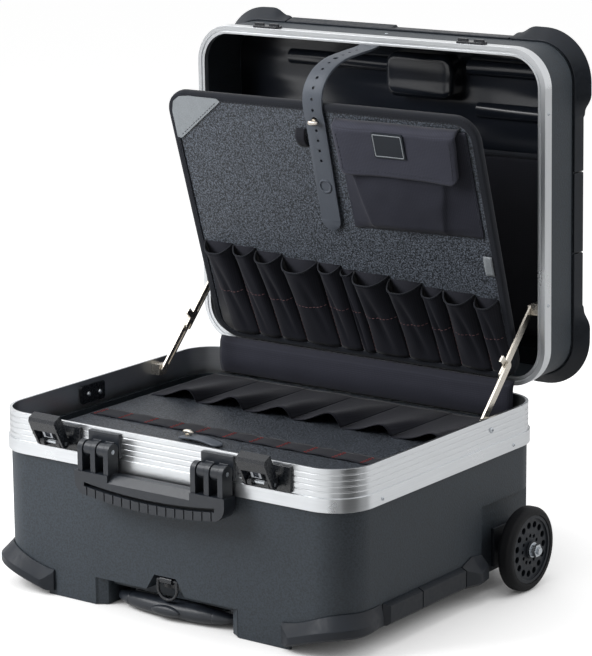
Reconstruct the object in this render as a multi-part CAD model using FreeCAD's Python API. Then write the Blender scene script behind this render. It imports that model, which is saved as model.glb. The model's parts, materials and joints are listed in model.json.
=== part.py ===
"""Rolling tool case with a hinged lid, a tool panel in the lid and a pull-out trolley.

Millimetres, +Z up, front at -Y. The origin is on the floor under the middle of the case.
The lid stands open, the tool panel leans forward, the carry handle hangs, the trolley is pushed in.
"""
import FreeCAD
import Part
import math
import os

V = FreeCAD.Vector
X_AXIS = V(1, 0, 0)
Y_AXIS = V(0, 1, 0)
Z_AXIS = V(0, 0, 1)

# Driving sizes of the case
case_width = 480.0
case_depth = 382.0
corner_radius = 45.0
base_height = 202.0
lid_depth = 79.7
lid_gap = 0.8
lid_open_angle = 89.0
shell_wall = 3.5
running_gap = 0.05
seat_gap = 0.3
cut_reach = 40.0
smallest_round = 0.5
same_place = 1e-6
upright_share = 0.9

# Base frame, an aluminium band with a flange that laps over the shell
band_height = 31.0
flange_height = 15.0
flange_proud = 2.0
flange_seat = 2.0
band_wall = 3.5
groove_depth = 0.7
groove_height = 1.4
groove_count = 4

# Base shell
shell_inset = 1.5
shell_underside = 22.0
shell_floor = 4.0
apron_margin = 75.0
apron_wall = 4.5
apron_weld = 1.0

# Front pocket for the trolley grip and the tow ring
pocket_half = 98.0
pocket_roof = 31.0
notch_top_half = 15.0
notch_foot_half = 26.0
notch_height = 49.0
notch_depth = 16.0

# Wheels and their wells
wheel_diameter = 95.0
wheel_width = 18.0
wheel_stand_out = 12.0
wheel_set_in = 70.0
tyre_thickness = 9.0
tyre_shoulder = 6.0
axle_diameter = 8.0
axle_end = 2.5
axle_head_diameter = 15.0
axle_head_height = 4.0
hub_hole_count = 15
hub_hole_diameter = 7.4
hub_hole_circle = 0.36
hub_inner_hole_count = 12
hub_inner_hole_diameter = 4.2
hub_inner_hole_circle = 0.2
hub_recess = 1.0
hub_dish = 3.0
hub_rim = 4.0
nave_diameter = 20.0
washer_thickness = 1.5
washer_diameter = 17.0
nut_height = 6.0
nut_flats = 13.0
boss_diameter = 26.0
boss_plate = 4.0
boss_plate_half = 24.0
boss_plate_drop = 20.0
well_inset = 7.5
well_clearance = 7.5
well_headroom = 9.0

# Bumpers
bumper_proud = 9.0
bumper_flare = 14.0
bumper_tail = 2.5
bumper_depth = 4.0
bumper_heel = 3.0
bumper_slope = 0.55
strip_proud = 6.0
base_bumper_height = 24.0
front_bumper_foot = 5.0
side_bumper_foot = 23.0
bumper_rise_length = 62.0
bumper_front_margin = 84.0
bumper_facet = 22.0
strip_shares = [0.35, 0.79]
strip_joint = 1.5
strip_facet = 7.0
strip_kick = 7.0
lid_bumper_height = 18.0
lid_bumper_foot = 0.8
lid_bumper_length = 84.0
lid_bumper_flat = 58.0
lid_bumper_steps = 9
lid_side_joint = 145.0
lid_bumper_edge = 5.5
lid_bumper_cap = 1.5
lid_bumper_lap = 15.0
lid_strip_proud = 4.0
lid_strip_low = 1.6
lid_strip_step_x = -6.0
lid_back_round = 9.0
lid_groove_depth = 1.5
lid_groove_height = 2.5

# Hinges
hinge_out = 4.0
hinge_above = 3.0
hinge_share = 0.25
hinge_length = 60.0
hinge_leaf = 2.0
hinge_leaf_height = 24.0
hinge_lid_leaf_height = 8.0
knuckle_radius = 3.6
knuckle_count = 5
knuckle_gap = 0.4
knuckle_relief = 0.5
hinge_pin_diameter = 3.2

# Lid frame
lid_rim_width = 9.5
lid_rim_thickness = 3.2
lid_band_depth = 14.0
lid_band_wall = 1.2
lid_rim_groove = 1.2
lid_rim_groove_width = 2.25
lid_lip_wall = 1.5
lid_lip_height = 4.0

# Tool panel
panel_side_margin = 57.0
panel_end_margin = 61.0
panel_thickness = 6.0
panel_corner = 28.0
panel_tilt = 16.6
panel_rear_gap = 11.0
panel_drop = 1.5
panel_pivot_drop = 6.0
binding_width = 8.0
binding_thickness = 1.0
pocket_widths = [41.0, 33.0, 38.0, 50.0, 32.0, 18.0, 48.0, 44.0, 28.0, 42.0, 30.0]
pocket_row_margin = 3.0
pocket_seam = 1.0
pocket_tall_share = 0.4
pocket_short_share = 0.305
pocket_bulge = 11.0
pocket_bulge_share = 0.36
pocket_foot_bulge = 2.5
pocket_foot = 9.0
flap_pocket_margin = 18.5
flap_strap_gap = 12.0
flap_pocket_drop = 13.0
flap_pocket_share = 0.417
flap_pocket_depth = 9.0
flap_pocket_corner = 10.0
flap_pocket_round = 4.0
flap_share = 0.46
flap_inset = 3.0
flap_corner = 8.0
flap_thickness = 2.0
flap_gap = 0.3

# Retaining strap
strap_width = 26.0
strap_thickness = 2.5
strap_lay_share = 0.49
strap_stud_drop = 19.0
strap_hole_gap = 0.5
strap_bow = 16.0
strap_anchor = 2.0
stud_diameter = 7.0
stud_height = 6.0
key_length = 15.0
key_width = 6.0
key_height = 4.0

# Lid stays
stay_lower_back = 105.0
stay_lower_drop = 11.0
stay_upper_back = 1.0
stay_upper_rise = 95.0
stay_width = 9.0
stay_thickness = 2.5
stay_gap = 0.5
stay_rivet = 6.0
stay_rivet_head = 9.0
stay_rivet_proud = 1.5
stay_bracket = 13.0
stay_bracket_shift = 3.0
stay_wall_gap = 12.5
stay_bead_depth = 0.8
stay_bead_margin = 2.2
stay_tab = 9.0
stay_tab_half = 4.0
stay_tab_root = 1.0

# Carry handle
handle_latch_gap = 11.75
handle_pin_out = 13.5
handle_pin_drop = 20.0
handle_pin_diameter = 5.0
ear_width = 6.5
ear_pitch = 18.0
ear_radius = 9.0
ear_root = 10.0
handle_end = 24.5
handle_back_inset = 1.0
grip_drop = 24.0
grip_height = 26.0
grip_depth = 19.0
grip_corner = 16.0
grip_sag = 6.0
grip_slope = 9.0
grip_slope_foot = 8.0
finger_groove_margin = 13.0
finger_groove_height = 4.5
finger_groove_depth = 8.0
finger_groove_rise = 10.0
grip_rib_count = 14
grip_rib_margin = 17.0
grip_rib_groove = 1.6
grip_rib_depth = 1.2
handle_plate = 3.5
handle_plate_gap = 1.0
handle_plate_drop = 3.0
handle_neck_drop = 5.0
handle_neck_rise = 7.0
knuckle_weld = 1.0

# Latches
latch_margin = 99.0
latch_plate_half = 31.0
latch_plate = 3.5
latch_pivot_out = 13.0
latch_pivot_drop = 21.0
latch_pin_diameter = 4.0
latch_boss = 5.5
latch_lug = 6.0
latch_lug_x = 11.0
latch_block = 11.0
latch_block_foot = 3.0
latch_block_top = 12.0
latch_block_edge = 2.0
lever_lean = 25.0
lever_half = 18.5
lever_height = 33.0
lever_hood = 15.0
lever_depth = 13.0
lever_wall = 3.0
lever_edge = 3.0
claw_half = 6.5
claw_depth = 5.0
claw_foot_rise = 6.0
claw_edge = 2.0
claw_slot_edge = 3.0
claw_slot_floor = 1.5
keeper_half = 17.0
keeper_plate = 2.5
keeper_lip = 3.0
keeper_lip_height = 3.0
keeper_height = 12.0
keeper_rise = 0.7
keeper_gap_half = 4.0

# Trolley
trolley_x = 60.0
trolley_z = 11.5
guide_diameter = 18.0
guide_bore = 16.15
stage_one_diameter = 16.0
stage_one_bore = 10.15
stage_two_diameter = 10.0
trolley_set_in = 46.0
trolley_rear_margin = 31.0
trolley_step = 8.0
trolley_end_wall = 4.0
stage_one_end = 12.0
stage_two_end = 20.0
stage_bar_over = 11.0
housing_half = 112.0
housing_round = 3.0
housing_web = 20.0
housing_floor = 3.0
grip_half = 79.0
trolley_grip_top = 19.8
trolley_grip_foot = 2.5
trolley_grip_set_in = 9.0
trolley_grip_depth = 20.0
trolley_grip_end = 7.0
grip_section_count = 13
rod_seat = 6.0
button_half = 19.0
button_height = 8.0
button_proud = 1.0
button_depth = 7.0
button_travel = 3.5
button_gap = 0.3

# Tow ring
ring_axis_z = 44.0
ring_set_in = 4.0
ring_wire = 3.6
ring_half = 13.0
ring_foot = 20.5
ring_sleeve_half = 8.0
ring_sleeve_radius = 4.0
ring_arm_inset = 1.0
ring_arm_drop = 1.5
ring_arm_rise = 2.5
ring_plate = 2.5
ring_plate_over = 4.0
ring_plate_drop = 12.0

# Base tool panel, its ledges, loops and pockets
pallet_thickness = 5.0
pallet_side_gap = 27.0
pallet_end_gap = 13.0
pallet_corner = 26.0
ledge_margin = 90.0
ledge_thickness = 3.0
ledge_height = 16.0
loop_count = 11
loop_margin = 26.0
loop_share = 0.365
loop_depth = 26.0
loop_height = 3.0
loop_tape = 1.2
loop_end = 8.0
loop_stitch = 4.0
billow_count = 6
billow_margin = 17.0
billow_share = 0.348
billow_rear_gap = 6.0
billow_height = 9.0
billow_rear_height = 2.0
pallet_stud_x = -48.0
pallet_stud_share = 0.261

# Hinge cover cloth between the base tool panel and the lid
cover_margin = 32.0
cover_foot_gap = 1.5
cover_rise = 12.0
cover_set_off = 2.5
cover_thickness = 1.5
cover_bow = 9.0

# Lid lining, with the shapes that are pressed into it, and the document pocket
liner_thickness = 2.0
liner_margin = 2.5
liner_bars = [(-0.65, 0.0, 42.0), (0.40, 0.86, 38.0), (0.45, 0.86, 86.0)]
liner_bar_radius = 9.0
liner_boss_width = 92.0
liner_boss_length = 52.0
liner_boss_height = 22.0
liner_boss_corner = 14.0
liner_boss_round = 8.0
liner_boss_x = 38.0
liner_boss_drop = 50.0
liner_weld = 1.0
document_margin = 35.0
document_top_drop = 131.0
document_foot_gap = 41.0
document_depth = 9.0
document_corner = 12.0

# Worked out from the sizes above
half_width = case_width / 2
half_depth = case_depth / 2
rim_z = base_height + lid_gap
lid_top = rim_z + lid_depth
frame_foot = base_height - band_height - flange_height
flange_top = base_height - band_height
hinge_x = case_width * hinge_share
hinge_y = half_depth + hinge_out
hinge_z = base_height + hinge_above
front_y = -half_depth
shell_front_y = front_y + shell_inset
apron_half = half_width - apron_margin
panel_width = case_width - panel_side_margin
panel_length = case_depth - panel_end_margin
panel_foot_y = half_depth - panel_rear_gap
panel_face_z = base_height - panel_drop - panel_thickness / 2
panel_back_z = panel_face_z + panel_thickness
pocket_row = panel_width - 2 * binding_width - pocket_row_margin
flap_pocket_height = panel_length * flap_pocket_share
flap_pocket_foot = panel_length - flap_pocket_drop - flap_pocket_height
flap_pocket_left = strap_width / 2 + flap_strap_gap
flap_pocket_right = panel_width / 2 - flap_pocket_margin
flap_pocket_width = flap_pocket_right - flap_pocket_left
flap_pocket_x = (flap_pocket_left + flap_pocket_right) / 2
flap_height = flap_pocket_height * flap_share
strap_tip = panel_length * (1 - strap_lay_share)
strap_stud_place = panel_length - strap_stud_drop
stay_lower_y = hinge_y - stay_lower_back
stay_lower_z = base_height - stay_lower_drop
stay_upper_y = hinge_y + stay_upper_back
stay_upper_z = hinge_z + stay_upper_rise
latch_x = half_width - latch_margin
latch_pivot_z = base_height - latch_pivot_drop
handle_bracket_half = ear_pitch + ear_width / 2
handle_x = latch_x - latch_plate_half - handle_latch_gap - handle_bracket_half
handle_half = handle_x + handle_end
handle_pin_z = base_height - handle_pin_drop
handle_plate_foot = flange_top + handle_plate_gap
handle_plate_top = base_height - handle_plate_drop
grip_top = handle_pin_z - grip_drop
grip_foot = grip_top - grip_height
finger_groove_z = grip_foot + finger_groove_rise
finger_groove_half = handle_half - finger_groove_margin
grip_rib_pitch = 2 * (handle_half - grip_rib_margin) / grip_rib_count
trolley_front_y = front_y + trolley_set_in
trolley_rear_y = half_depth - trolley_rear_margin
trolley_grip_front_y = front_y + trolley_grip_set_in
trolley_grip_rear_y = trolley_grip_front_y + trolley_grip_depth
pallet_top = flange_top
pallet_half = half_width - pallet_side_gap
pallet_rear_y = half_depth - pallet_end_gap
pallet_front_y = -pallet_rear_y
pallet_depth = 2 * pallet_rear_y
pallet_stud_y = pallet_front_y + pallet_depth * pallet_stud_share
loop_y = pallet_front_y + pallet_depth * loop_share
loop_pitch = 2 * (pallet_half - loop_margin) / loop_count
billow_half = pallet_half - billow_margin
billow_rear_y = pallet_rear_y - billow_rear_gap
billow_front_y = billow_rear_y - pallet_depth * billow_share
ledge_half = half_width - ledge_margin
cover_half = half_width - cover_margin
cover_foot_z = pallet_top + cover_foot_gap
cover_top_z = base_height + cover_rise
document_half = half_width - document_margin
document_top_y = front_y + document_top_drop
document_foot_y = half_depth - document_foot_gap
wheel_inner_x = half_width + wheel_stand_out
wheel_outer_x = wheel_inner_x + wheel_width
wheel_y = half_depth - wheel_set_in
wheel_z = wheel_diameter / 2
well_x = half_width - shell_inset - well_inset
well_front_y = wheel_y - wheel_diameter / 2 - well_clearance
well_height = wheel_diameter + well_headroom
bumper_front_x = half_width - bumper_front_margin
corner_arc = corner_radius * math.pi / 4


def box(x0, x1, y0, y1, z0, z1):
    """Block between two corners."""
    return Part.makeBox(x1 - x0, y1 - y0, z1 - z0, V(x0, y0, z0))


def rounded_slab(width, depth, radius, z0, z1, centre_y=0.0):
    """Upright slab with four rounded corners, as lines and quarter arcs."""
    a = width / 2
    b = depth / 2
    r = max(smallest_round, min(radius, a - smallest_round, b - smallest_round))
    k = r * (1 - math.sqrt(0.5))
    edges = []
    corners = [(a, -b), (a, b), (-a, b), (-a, -b)]
    for i, (cx, cy) in enumerate(corners):
        sx = math.copysign(1, cx)
        sy = math.copysign(1, cy)
        on_x_side = V(cx, cy - sy * r, z0)
        on_y_side = V(cx - sx * r, cy, z0)
        middle = V(cx - sx * k, cy - sy * k, z0)
        start, end = (on_y_side, on_x_side) if i % 2 == 0 else (on_x_side, on_y_side)
        edges.append((start, middle, end))
    wire_edges = []
    for i, (start, middle, end) in enumerate(edges):
        wire_edges.append(Part.Arc(start, middle, end).toShape())
        following = edges[(i + 1) % 4][0]
        if end.distanceToPoint(following) > same_place:
            wire_edges.append(Part.makeLine(end, following))
    slab = Part.Face(Part.Wire(wire_edges)).extrude(V(0, 0, z1 - z0))
    slab.translate(V(0, centre_y, 0))
    return slab


def case_slab(offset, z0, z1):
    """Slab of the case's plan outline, moved out by an offset."""
    return rounded_slab(case_width + 2 * offset, case_depth + 2 * offset, corner_radius + offset, z0, z1)


def case_ring(outer, inner, z0, z1):
    """Ring that follows the case's plan outline between two offsets."""
    return case_slab(outer, z0, z1).cut(case_slab(inner, z0 - 1, z1 + 1))


def prism_x(points, x0, x1):
    """Prism along X over a (y, z) outline."""
    wire = Part.makePolygon([V(x0, y, z) for y, z in points + points[:1]])
    return Part.Face(wire).extrude(V(x1 - x0, 0, 0))


def prism_y(points, y0, y1):
    """Prism along Y over an (x, z) outline."""
    wire = Part.makePolygon([V(x, y0, z) for x, z in points + points[:1]])
    return Part.Face(wire).extrude(V(0, y1 - y0, 0))


def prism_z(points, z0, z1):
    """Prism along Z over an (x, y) outline."""
    wire = Part.makePolygon([V(x, y, z0) for x, y in points + points[:1]])
    return Part.Face(wire).extrude(V(0, 0, z1 - z0))


def rod_x(x0, x1, y, z, diameter):
    """Round bar along X."""
    return Part.makeCylinder(diameter / 2, x1 - x0, V(x0, y, z), X_AXIS)


def rod_y(y0, y1, x, z, diameter):
    """Round bar along Y."""
    return Part.makeCylinder(diameter / 2, y1 - y0, V(x, y0, z), Y_AXIS)


def rod_z(z0, z1, x, y, diameter):
    """Round bar along Z."""
    return Part.makeCylinder(diameter / 2, z1 - z0, V(x, y, z0), Z_AXIS)


def tube_y(y0, y1, x, z, outer, inner):
    """Round tube along Y."""
    return rod_y(y0, y1, x, z, outer).cut(rod_y(y0 - 1, y1 + 1, x, z, inner))


def fuse(shapes):
    """One solid out of several that overlap, without inner seams."""
    return shapes[0].multiFuse(shapes[1:]).removeSplitter()


def cut(shape, tools):
    """The shape with all the tools taken away."""
    return shape.cut(Part.makeCompound(tools))


def mirrored(shape):
    """The shape on the other side of the case."""
    return shape.mirror(V(0, 0, 0), X_AXIS)


def shifted(shape, x=0.0, y=0.0, z=0.0):
    """A copy of the shape, moved."""
    copy = shape.copy()
    copy.translate(V(x, y, z))
    return copy


def turned_x(shape, y, z, angle):
    """A copy of the shape, turned about an axis along X."""
    copy = shape.copy()
    copy.rotate(V(0, y, z), X_AXIS, angle)
    return copy


def opened(shape):
    """A lid piece, drawn on the closed case, at its open place."""
    return turned_x(shape, hinge_y, hinge_z, -lid_open_angle)


def panel_pivot():
    """Place of the tool panel's cloth hinge on the open lid, as (y, z)."""
    seat = V(0, panel_foot_y + panel_pivot_drop, panel_face_z + panel_thickness / 2)
    angle = math.radians(-lid_open_angle)
    dy = seat.y - hinge_y
    dz = seat.z - hinge_z
    y = hinge_y + dy * math.cos(angle) - dz * math.sin(angle)
    z = hinge_z + dy * math.sin(angle) + dz * math.cos(angle)
    return y, z


def leaned(shape):
    """A tool panel piece, drawn in the closed lid, at its place in the open one."""
    y, z = panel_pivot()
    return turned_x(opened(shape), y, z, panel_tilt)


nodes = {}


def keep(name, *shapes):
    """Names a node and lists its solids."""
    solids = []
    for shape in shapes:
        solids.extend(shape.Solids)
    nodes[name] = solids


def base_frame():
    """Aluminium band: grooved wall above, flange over the shell below."""
    slot_outer = -shell_inset + seat_gap
    pitch = band_height / (groove_count + 1)
    wall = case_ring(0, -band_wall, flange_top - flange_seat, base_height)
    flange = case_ring(flange_proud, slot_outer, frame_foot, flange_top)
    frame = fuse([wall, flange])
    grooves = []
    for i in range(groove_count):
        z = flange_top + pitch * (i + 1)
        grooves.append(case_ring(flange_proud, -groove_depth, z - groove_height / 2, z + groove_height / 2))
    return cut(frame, grooves)


def recess_outline(spread):
    """Front view of the trolley pocket with the tow ring's notch above it, spread by a wall thickness."""
    right = [(pocket_half + spread, -cut_reach), (pocket_half + spread, pocket_roof + spread),
             (notch_foot_half + spread, pocket_roof + spread),
             (notch_top_half + spread, notch_height + spread)]
    return right + [(-x, z) for x, z in reversed(right)]


def base_shell():
    """Moulded tray with wheel wells, the trolley pocket and an apron in front of the trolley."""
    top = flange_top - flange_seat - seat_gap
    outer = case_slab(-shell_inset, shell_underside, top)
    floor_z = shell_underside + shell_floor
    inner = case_slab(-shell_inset - shell_wall, floor_z, top + cut_reach)
    rear = half_depth + cut_reach
    for side in (-1, 1):
        x0, x1 = sorted((side * well_x, side * (half_width + cut_reach)))
        outer = outer.cut(box(x0, x1, well_front_y, rear, 0, well_height))
        x0, x1 = sorted((side * (well_x - shell_wall), side * (half_width + cut_reach)))
        inner = inner.cut(box(x0, x1, well_front_y - shell_wall, rear, 0, well_height + shell_wall))
    ahead = front_y - cut_reach
    notch_back = shell_front_y + notch_depth
    outer = outer.cut(prism_y(recess_outline(0), ahead, notch_back))
    inner = inner.cut(prism_y(recess_outline(shell_wall), ahead, notch_back + shell_wall))
    tray = outer.cut(inner)
    apron_back = shell_front_y + apron_wall
    apron = box(-apron_half, apron_half, shell_front_y, apron_back, 0, shell_underside + apron_weld)
    recess = prism_y(recess_outline(0), ahead, front_y + cut_reach)
    shell = fuse([tray, apron.cut(recess)])
    axle = axle_diameter + 2 * running_gap
    bores = [rod_x(side * well_x - cut_reach, side * well_x + cut_reach, wheel_y, wheel_z, axle)
             for side in (-1, 1)]
    return cut(shell, bores)


def outline_station(travel):
    """Place and outward direction on the case's outline, by travel from the middle of the right front corner.

    Travel is negative along the front and positive along the side.
    """
    cx = half_width - corner_radius
    cy = front_y + corner_radius
    if travel < -corner_arc:
        return V(cx + travel + corner_arc, front_y, 0), V(0, -1, 0)
    if travel > corner_arc:
        return V(half_width, cy + travel - corner_arc, 0), V(1, 0, 0)
    angle = -math.pi / 4 + travel / corner_radius
    out = V(math.cos(angle), math.sin(angle), 0)
    return V(cx, cy, 0) + out * corner_radius, out


def swept(stations):
    """Smooth solid through sections that stand on the case's outline: (travel, section points)."""
    wires = []
    for travel, section in stations:
        place, out = outline_station(travel)
        points = [place + out * offset + V(0, 0, z) for offset, z in section]
        wires.append(Part.makePolygon(points + points[:1]))
    return Part.makeLoft(wires, True, False)


def eased(share):
    """Smooth step from 0 to 1."""
    share = max(0.0, min(1.0, share))
    return share * share * (3 - 2 * share)


def base_bumper_section(proud, foot, top):
    """Wedge section of a base bumper: flush at its top, full at its heel."""
    heel = min(bumper_heel, proud / 2)
    shoulder = top - bumper_slope * (top - foot)
    return [(-bumper_depth, foot), (proud - heel, foot), (proud, foot + heel), (proud, shoulder),
            (running_gap, top), (-bumper_depth, top)]


def base_corner_bumper():
    """Right front corner bumper: it climbs from the front, flares at the corner and ends in a facet."""
    front_end = bumper_front_x - half_width + corner_radius - corner_arc
    rear_end = bumper_rise_length - corner_radius + corner_arc
    travels = [front_end, (front_end - corner_arc) / 2, -corner_arc, -corner_arc / 2, 0.0, corner_arc / 2,
               corner_arc, (corner_arc + rear_end) / 2, rear_end]
    stations = []
    for travel in travels:
        climb = (side_bumper_foot - front_bumper_foot) * eased((travel - front_end) / -front_end)
        flare = bumper_flare - bumper_proud
        if travel < 0:
            proud = bumper_proud + flare * eased(1 - travel / front_end)
        else:
            proud = bumper_tail + (bumper_flare - bumper_tail) * eased(1 - travel / rear_end)
        foot = front_bumper_foot + climb
        stations.append((travel, base_bumper_section(proud, foot, foot + base_bumper_height)))
    tip = front_y - shell_inset
    far = front_y - bumper_flare - cut_reach
    facet = prism_z([(bumper_front_x - cut_reach, tip), (bumper_front_x, tip), (bumper_front_x + bumper_facet,
                    front_y - bumper_flare), (bumper_front_x + bumper_facet, far),
                    (bumper_front_x - cut_reach, far)], -cut_reach, base_height)
    wall = case_slab(-shell_inset + seat_gap, -cut_reach, base_height)
    return swept(stations).cut(wall).cut(facet)


def base_side_strips():
    """Right side strips between the corner bumper and the wheel, in three lengths."""
    wall = half_width - shell_inset + seat_gap
    face = half_width + strip_proud
    start = front_y + bumper_rise_length + strip_joint
    end = well_front_y - strip_joint
    splits = [start + (end - start) * share for share in strip_shares]
    foot = side_bumper_foot
    top = foot + base_bumper_height
    heel = foot + bumper_heel
    shoulder = top - bumper_heel
    section = [(wall, foot), (face - bumper_heel, foot), (face, heel), (face, shoulder),
               (half_width + running_gap, top), (wall, top)]
    pieces = []
    for y0, y1 in zip([start] + splits, splits + [end]):
        pieces.append(prism_y(section, y0 + strip_joint / 2, y1 - strip_joint / 2))
    nose = prism_z([(wall, start - cut_reach), (face + cut_reach, start - cut_reach),
                    (face + cut_reach, start + strip_facet),
                    (face, start + strip_facet), (wall, start)], 0, base_height)
    pieces[0] = pieces[0].cut(nose)
    y0 = splits[1] + strip_joint / 2
    kick = []
    for y, grow in ((y0, 0.0), ((y0 + end) / 2, strip_kick), (end, strip_kick / 2)):
        points = [(wall, foot), (face - bumper_heel + grow, foot), (face + grow, heel),
                  (face + grow, shoulder - grow),
                  (half_width + running_gap, top + grow), (wall, top + grow)]
        corners = [V(x, y, z) for x, z in points]
        kick.append(Part.makePolygon(corners + corners[:1]))
    pieces[2] = Part.makeLoft(kick, True, True)
    return pieces


def trolley_housing():
    """Flat housing under the floor with a bore for each guide tube."""
    top = shell_underside - seat_gap / 3
    block = box(-housing_half, housing_half, trolley_front_y, trolley_rear_y, 0, top)
    upright = [e for e in block.Edges if abs(e.tangentAt(e.FirstParameter).z) > upright_share]
    block = block.makeFillet(housing_round, upright)
    bore = guide_diameter + 2 * running_gap
    ahead = trolley_front_y - cut_reach
    middle = box(-trolley_x + housing_web, trolley_x - housing_web, ahead, trolley_rear_y - housing_web,
                 housing_floor, top + cut_reach)
    bore_end = trolley_rear_y - trolley_end_wall
    bores = [rod_y(ahead, bore_end, side * trolley_x, trolley_z, bore) for side in (-1, 1)]
    return cut(block, bores + [middle])


def trolley_guides():
    """Fixed outer tubes of the trolley."""
    end = trolley_rear_y - trolley_end_wall - seat_gap
    return [tube_y(trolley_front_y, end, side * trolley_x, trolley_z, guide_diameter, guide_bore)
            for side in (-1, 1)]


def trolley_stage_one():
    """Middle tubes with the cross piece that joins their front ends."""
    front = trolley_front_y - trolley_step
    end = trolley_rear_y - stage_one_end
    tubes = [rod_y(front, end, side * trolley_x, trolley_z, stage_one_diameter) for side in (-1, 1)]
    height = stage_one_diameter / 2 + seat_gap
    half = trolley_x + stage_bar_over
    bar = box(-half, half, front, trolley_front_y - seat_gap, trolley_z - height, trolley_z + height)
    stage = fuse([bar] + tubes)
    return cut(stage, [rod_y(front - cut_reach, trolley_rear_y, side * trolley_x, trolley_z, stage_one_bore)
                       for side in (-1, 1)])


def trolley_stage_two():
    """Inner rods that carry the grip."""
    start = trolley_grip_rear_y - rod_seat
    end = trolley_rear_y - stage_two_end
    return [rod_y(start, end, side * trolley_x, trolley_z, stage_two_diameter) for side in (-1, 1)]


def arc_prism(points, direction, length):
    """Prism over an outline of three-point arcs and straight lines, given as point pairs."""
    edges = []
    for i, (start, middle) in enumerate(points):
        end = points[(i + 1) % len(points)][0]
        edges.append(Part.makeLine(start, end) if middle is None else Part.Arc(start, middle, end).toShape())
    return Part.Face(Part.Wire(edges)).extrude(direction * length)


def trolley_grip():
    """Boat-shaped grip: oval sections that swell towards the middle, with a seat for the button."""
    y1 = trolley_grip_rear_y
    z = (trolley_grip_top + trolley_grip_foot) / 2
    full_z = (trolley_grip_top - trolley_grip_foot) / 2
    full_y = trolley_grip_depth / 2
    end = trolley_grip_end / 2
    wires = []
    for i in range(grip_section_count):
        share = 2 * i / (grip_section_count - 1) - 1
        swell = 1 - share ** 4
        half_z = end + (full_z - end) * swell
        half_y = end + running_gap + (full_y - end) * math.sqrt(1 - share * share)
        half_y = max(half_y, half_z + running_gap)
        centre = V(share * grip_half, y1 - half_y, z)
        oval = Part.Ellipse(centre + V(0, half_y, 0), centre + V(0, 0, half_z), centre)
        wires.append(Part.Wire([oval.toShape()]))
    grip = Part.makeLoft(wires, True, False)
    sockets = [rod_y(y1 - rod_seat - seat_gap, y1 + cut_reach, side * trolley_x, trolley_z,
                     stage_two_diameter + 2 * running_gap) for side in (-1, 1)]
    y0 = trolley_grip_front_y
    return cut(grip, sockets + [trolley_button_body(button_gap, y0 - cut_reach, y0 + button_depth)])


def trolley_button_body(spread, y0, y1):
    """Oval block of the release button, spread by a gap."""
    z = (trolley_grip_top + trolley_grip_foot) / 2
    radius = button_height / 2 + spread
    straight = button_half - button_height / 2
    return fuse([box(-straight, straight, y0, y1, z - radius, z + radius),
                 rod_y(y0, y1, -straight, z, 2 * radius), rod_y(y0, y1, straight, z, 2 * radius)])


def trolley_button():
    """Release button in the front of the grip."""
    y0 = trolley_grip_front_y - button_proud
    return trolley_button_body(0, y0, y0 + button_depth - button_travel)


def ear_places():
    """Places of the carry handle's three ears on one side, along X."""
    return [handle_x + (i - 1) * ear_pitch for i in range(3)]


def handle_bracket():
    """Right handle bracket: plate on the band with two knuckles for the pin."""
    y = front_y - handle_pin_out
    z = handle_pin_z
    plate = box(handle_x - handle_bracket_half, handle_x + handle_bracket_half, front_y - handle_plate,
                front_y, handle_plate_foot, handle_plate_top)
    pieces = [plate]
    knuckle_half = (ear_pitch - ear_width) / 2 - knuckle_gap
    for i in range(2):
        x = handle_x + (i - 0.5) * ear_pitch
        pieces.append(rod_x(x - knuckle_half, x + knuckle_half, y, z, 2 * (ear_radius - handle_back_inset)))
        pieces.append(box(x - knuckle_half, x + knuckle_half, y, front_y - knuckle_weld, z - handle_neck_drop,
                          z + handle_neck_rise))
    return fuse(pieces).cut(rod_x(0, case_width, y, z, handle_pin_diameter + 2 * running_gap))


def handle_pin():
    """Right pin of the carry handle."""
    return rod_x(handle_x - handle_bracket_half, handle_x + handle_bracket_half, front_y - handle_pin_out,
                 handle_pin_z, handle_pin_diameter)


def finger_groove(ahead, depth):
    """Bowed finger groove across the face of the grip."""
    half = finger_groove_half
    low = finger_groove_z
    high = low + finger_groove_height
    return arc_prism([(V(-half, ahead, low), V(0, ahead, low - grip_sag)), (V(half, ahead, low), None),
                      (V(half, ahead, high), V(0, ahead, high - grip_sag)), (V(-half, ahead, high), None)],
                     Y_AXIS, depth)


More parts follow.
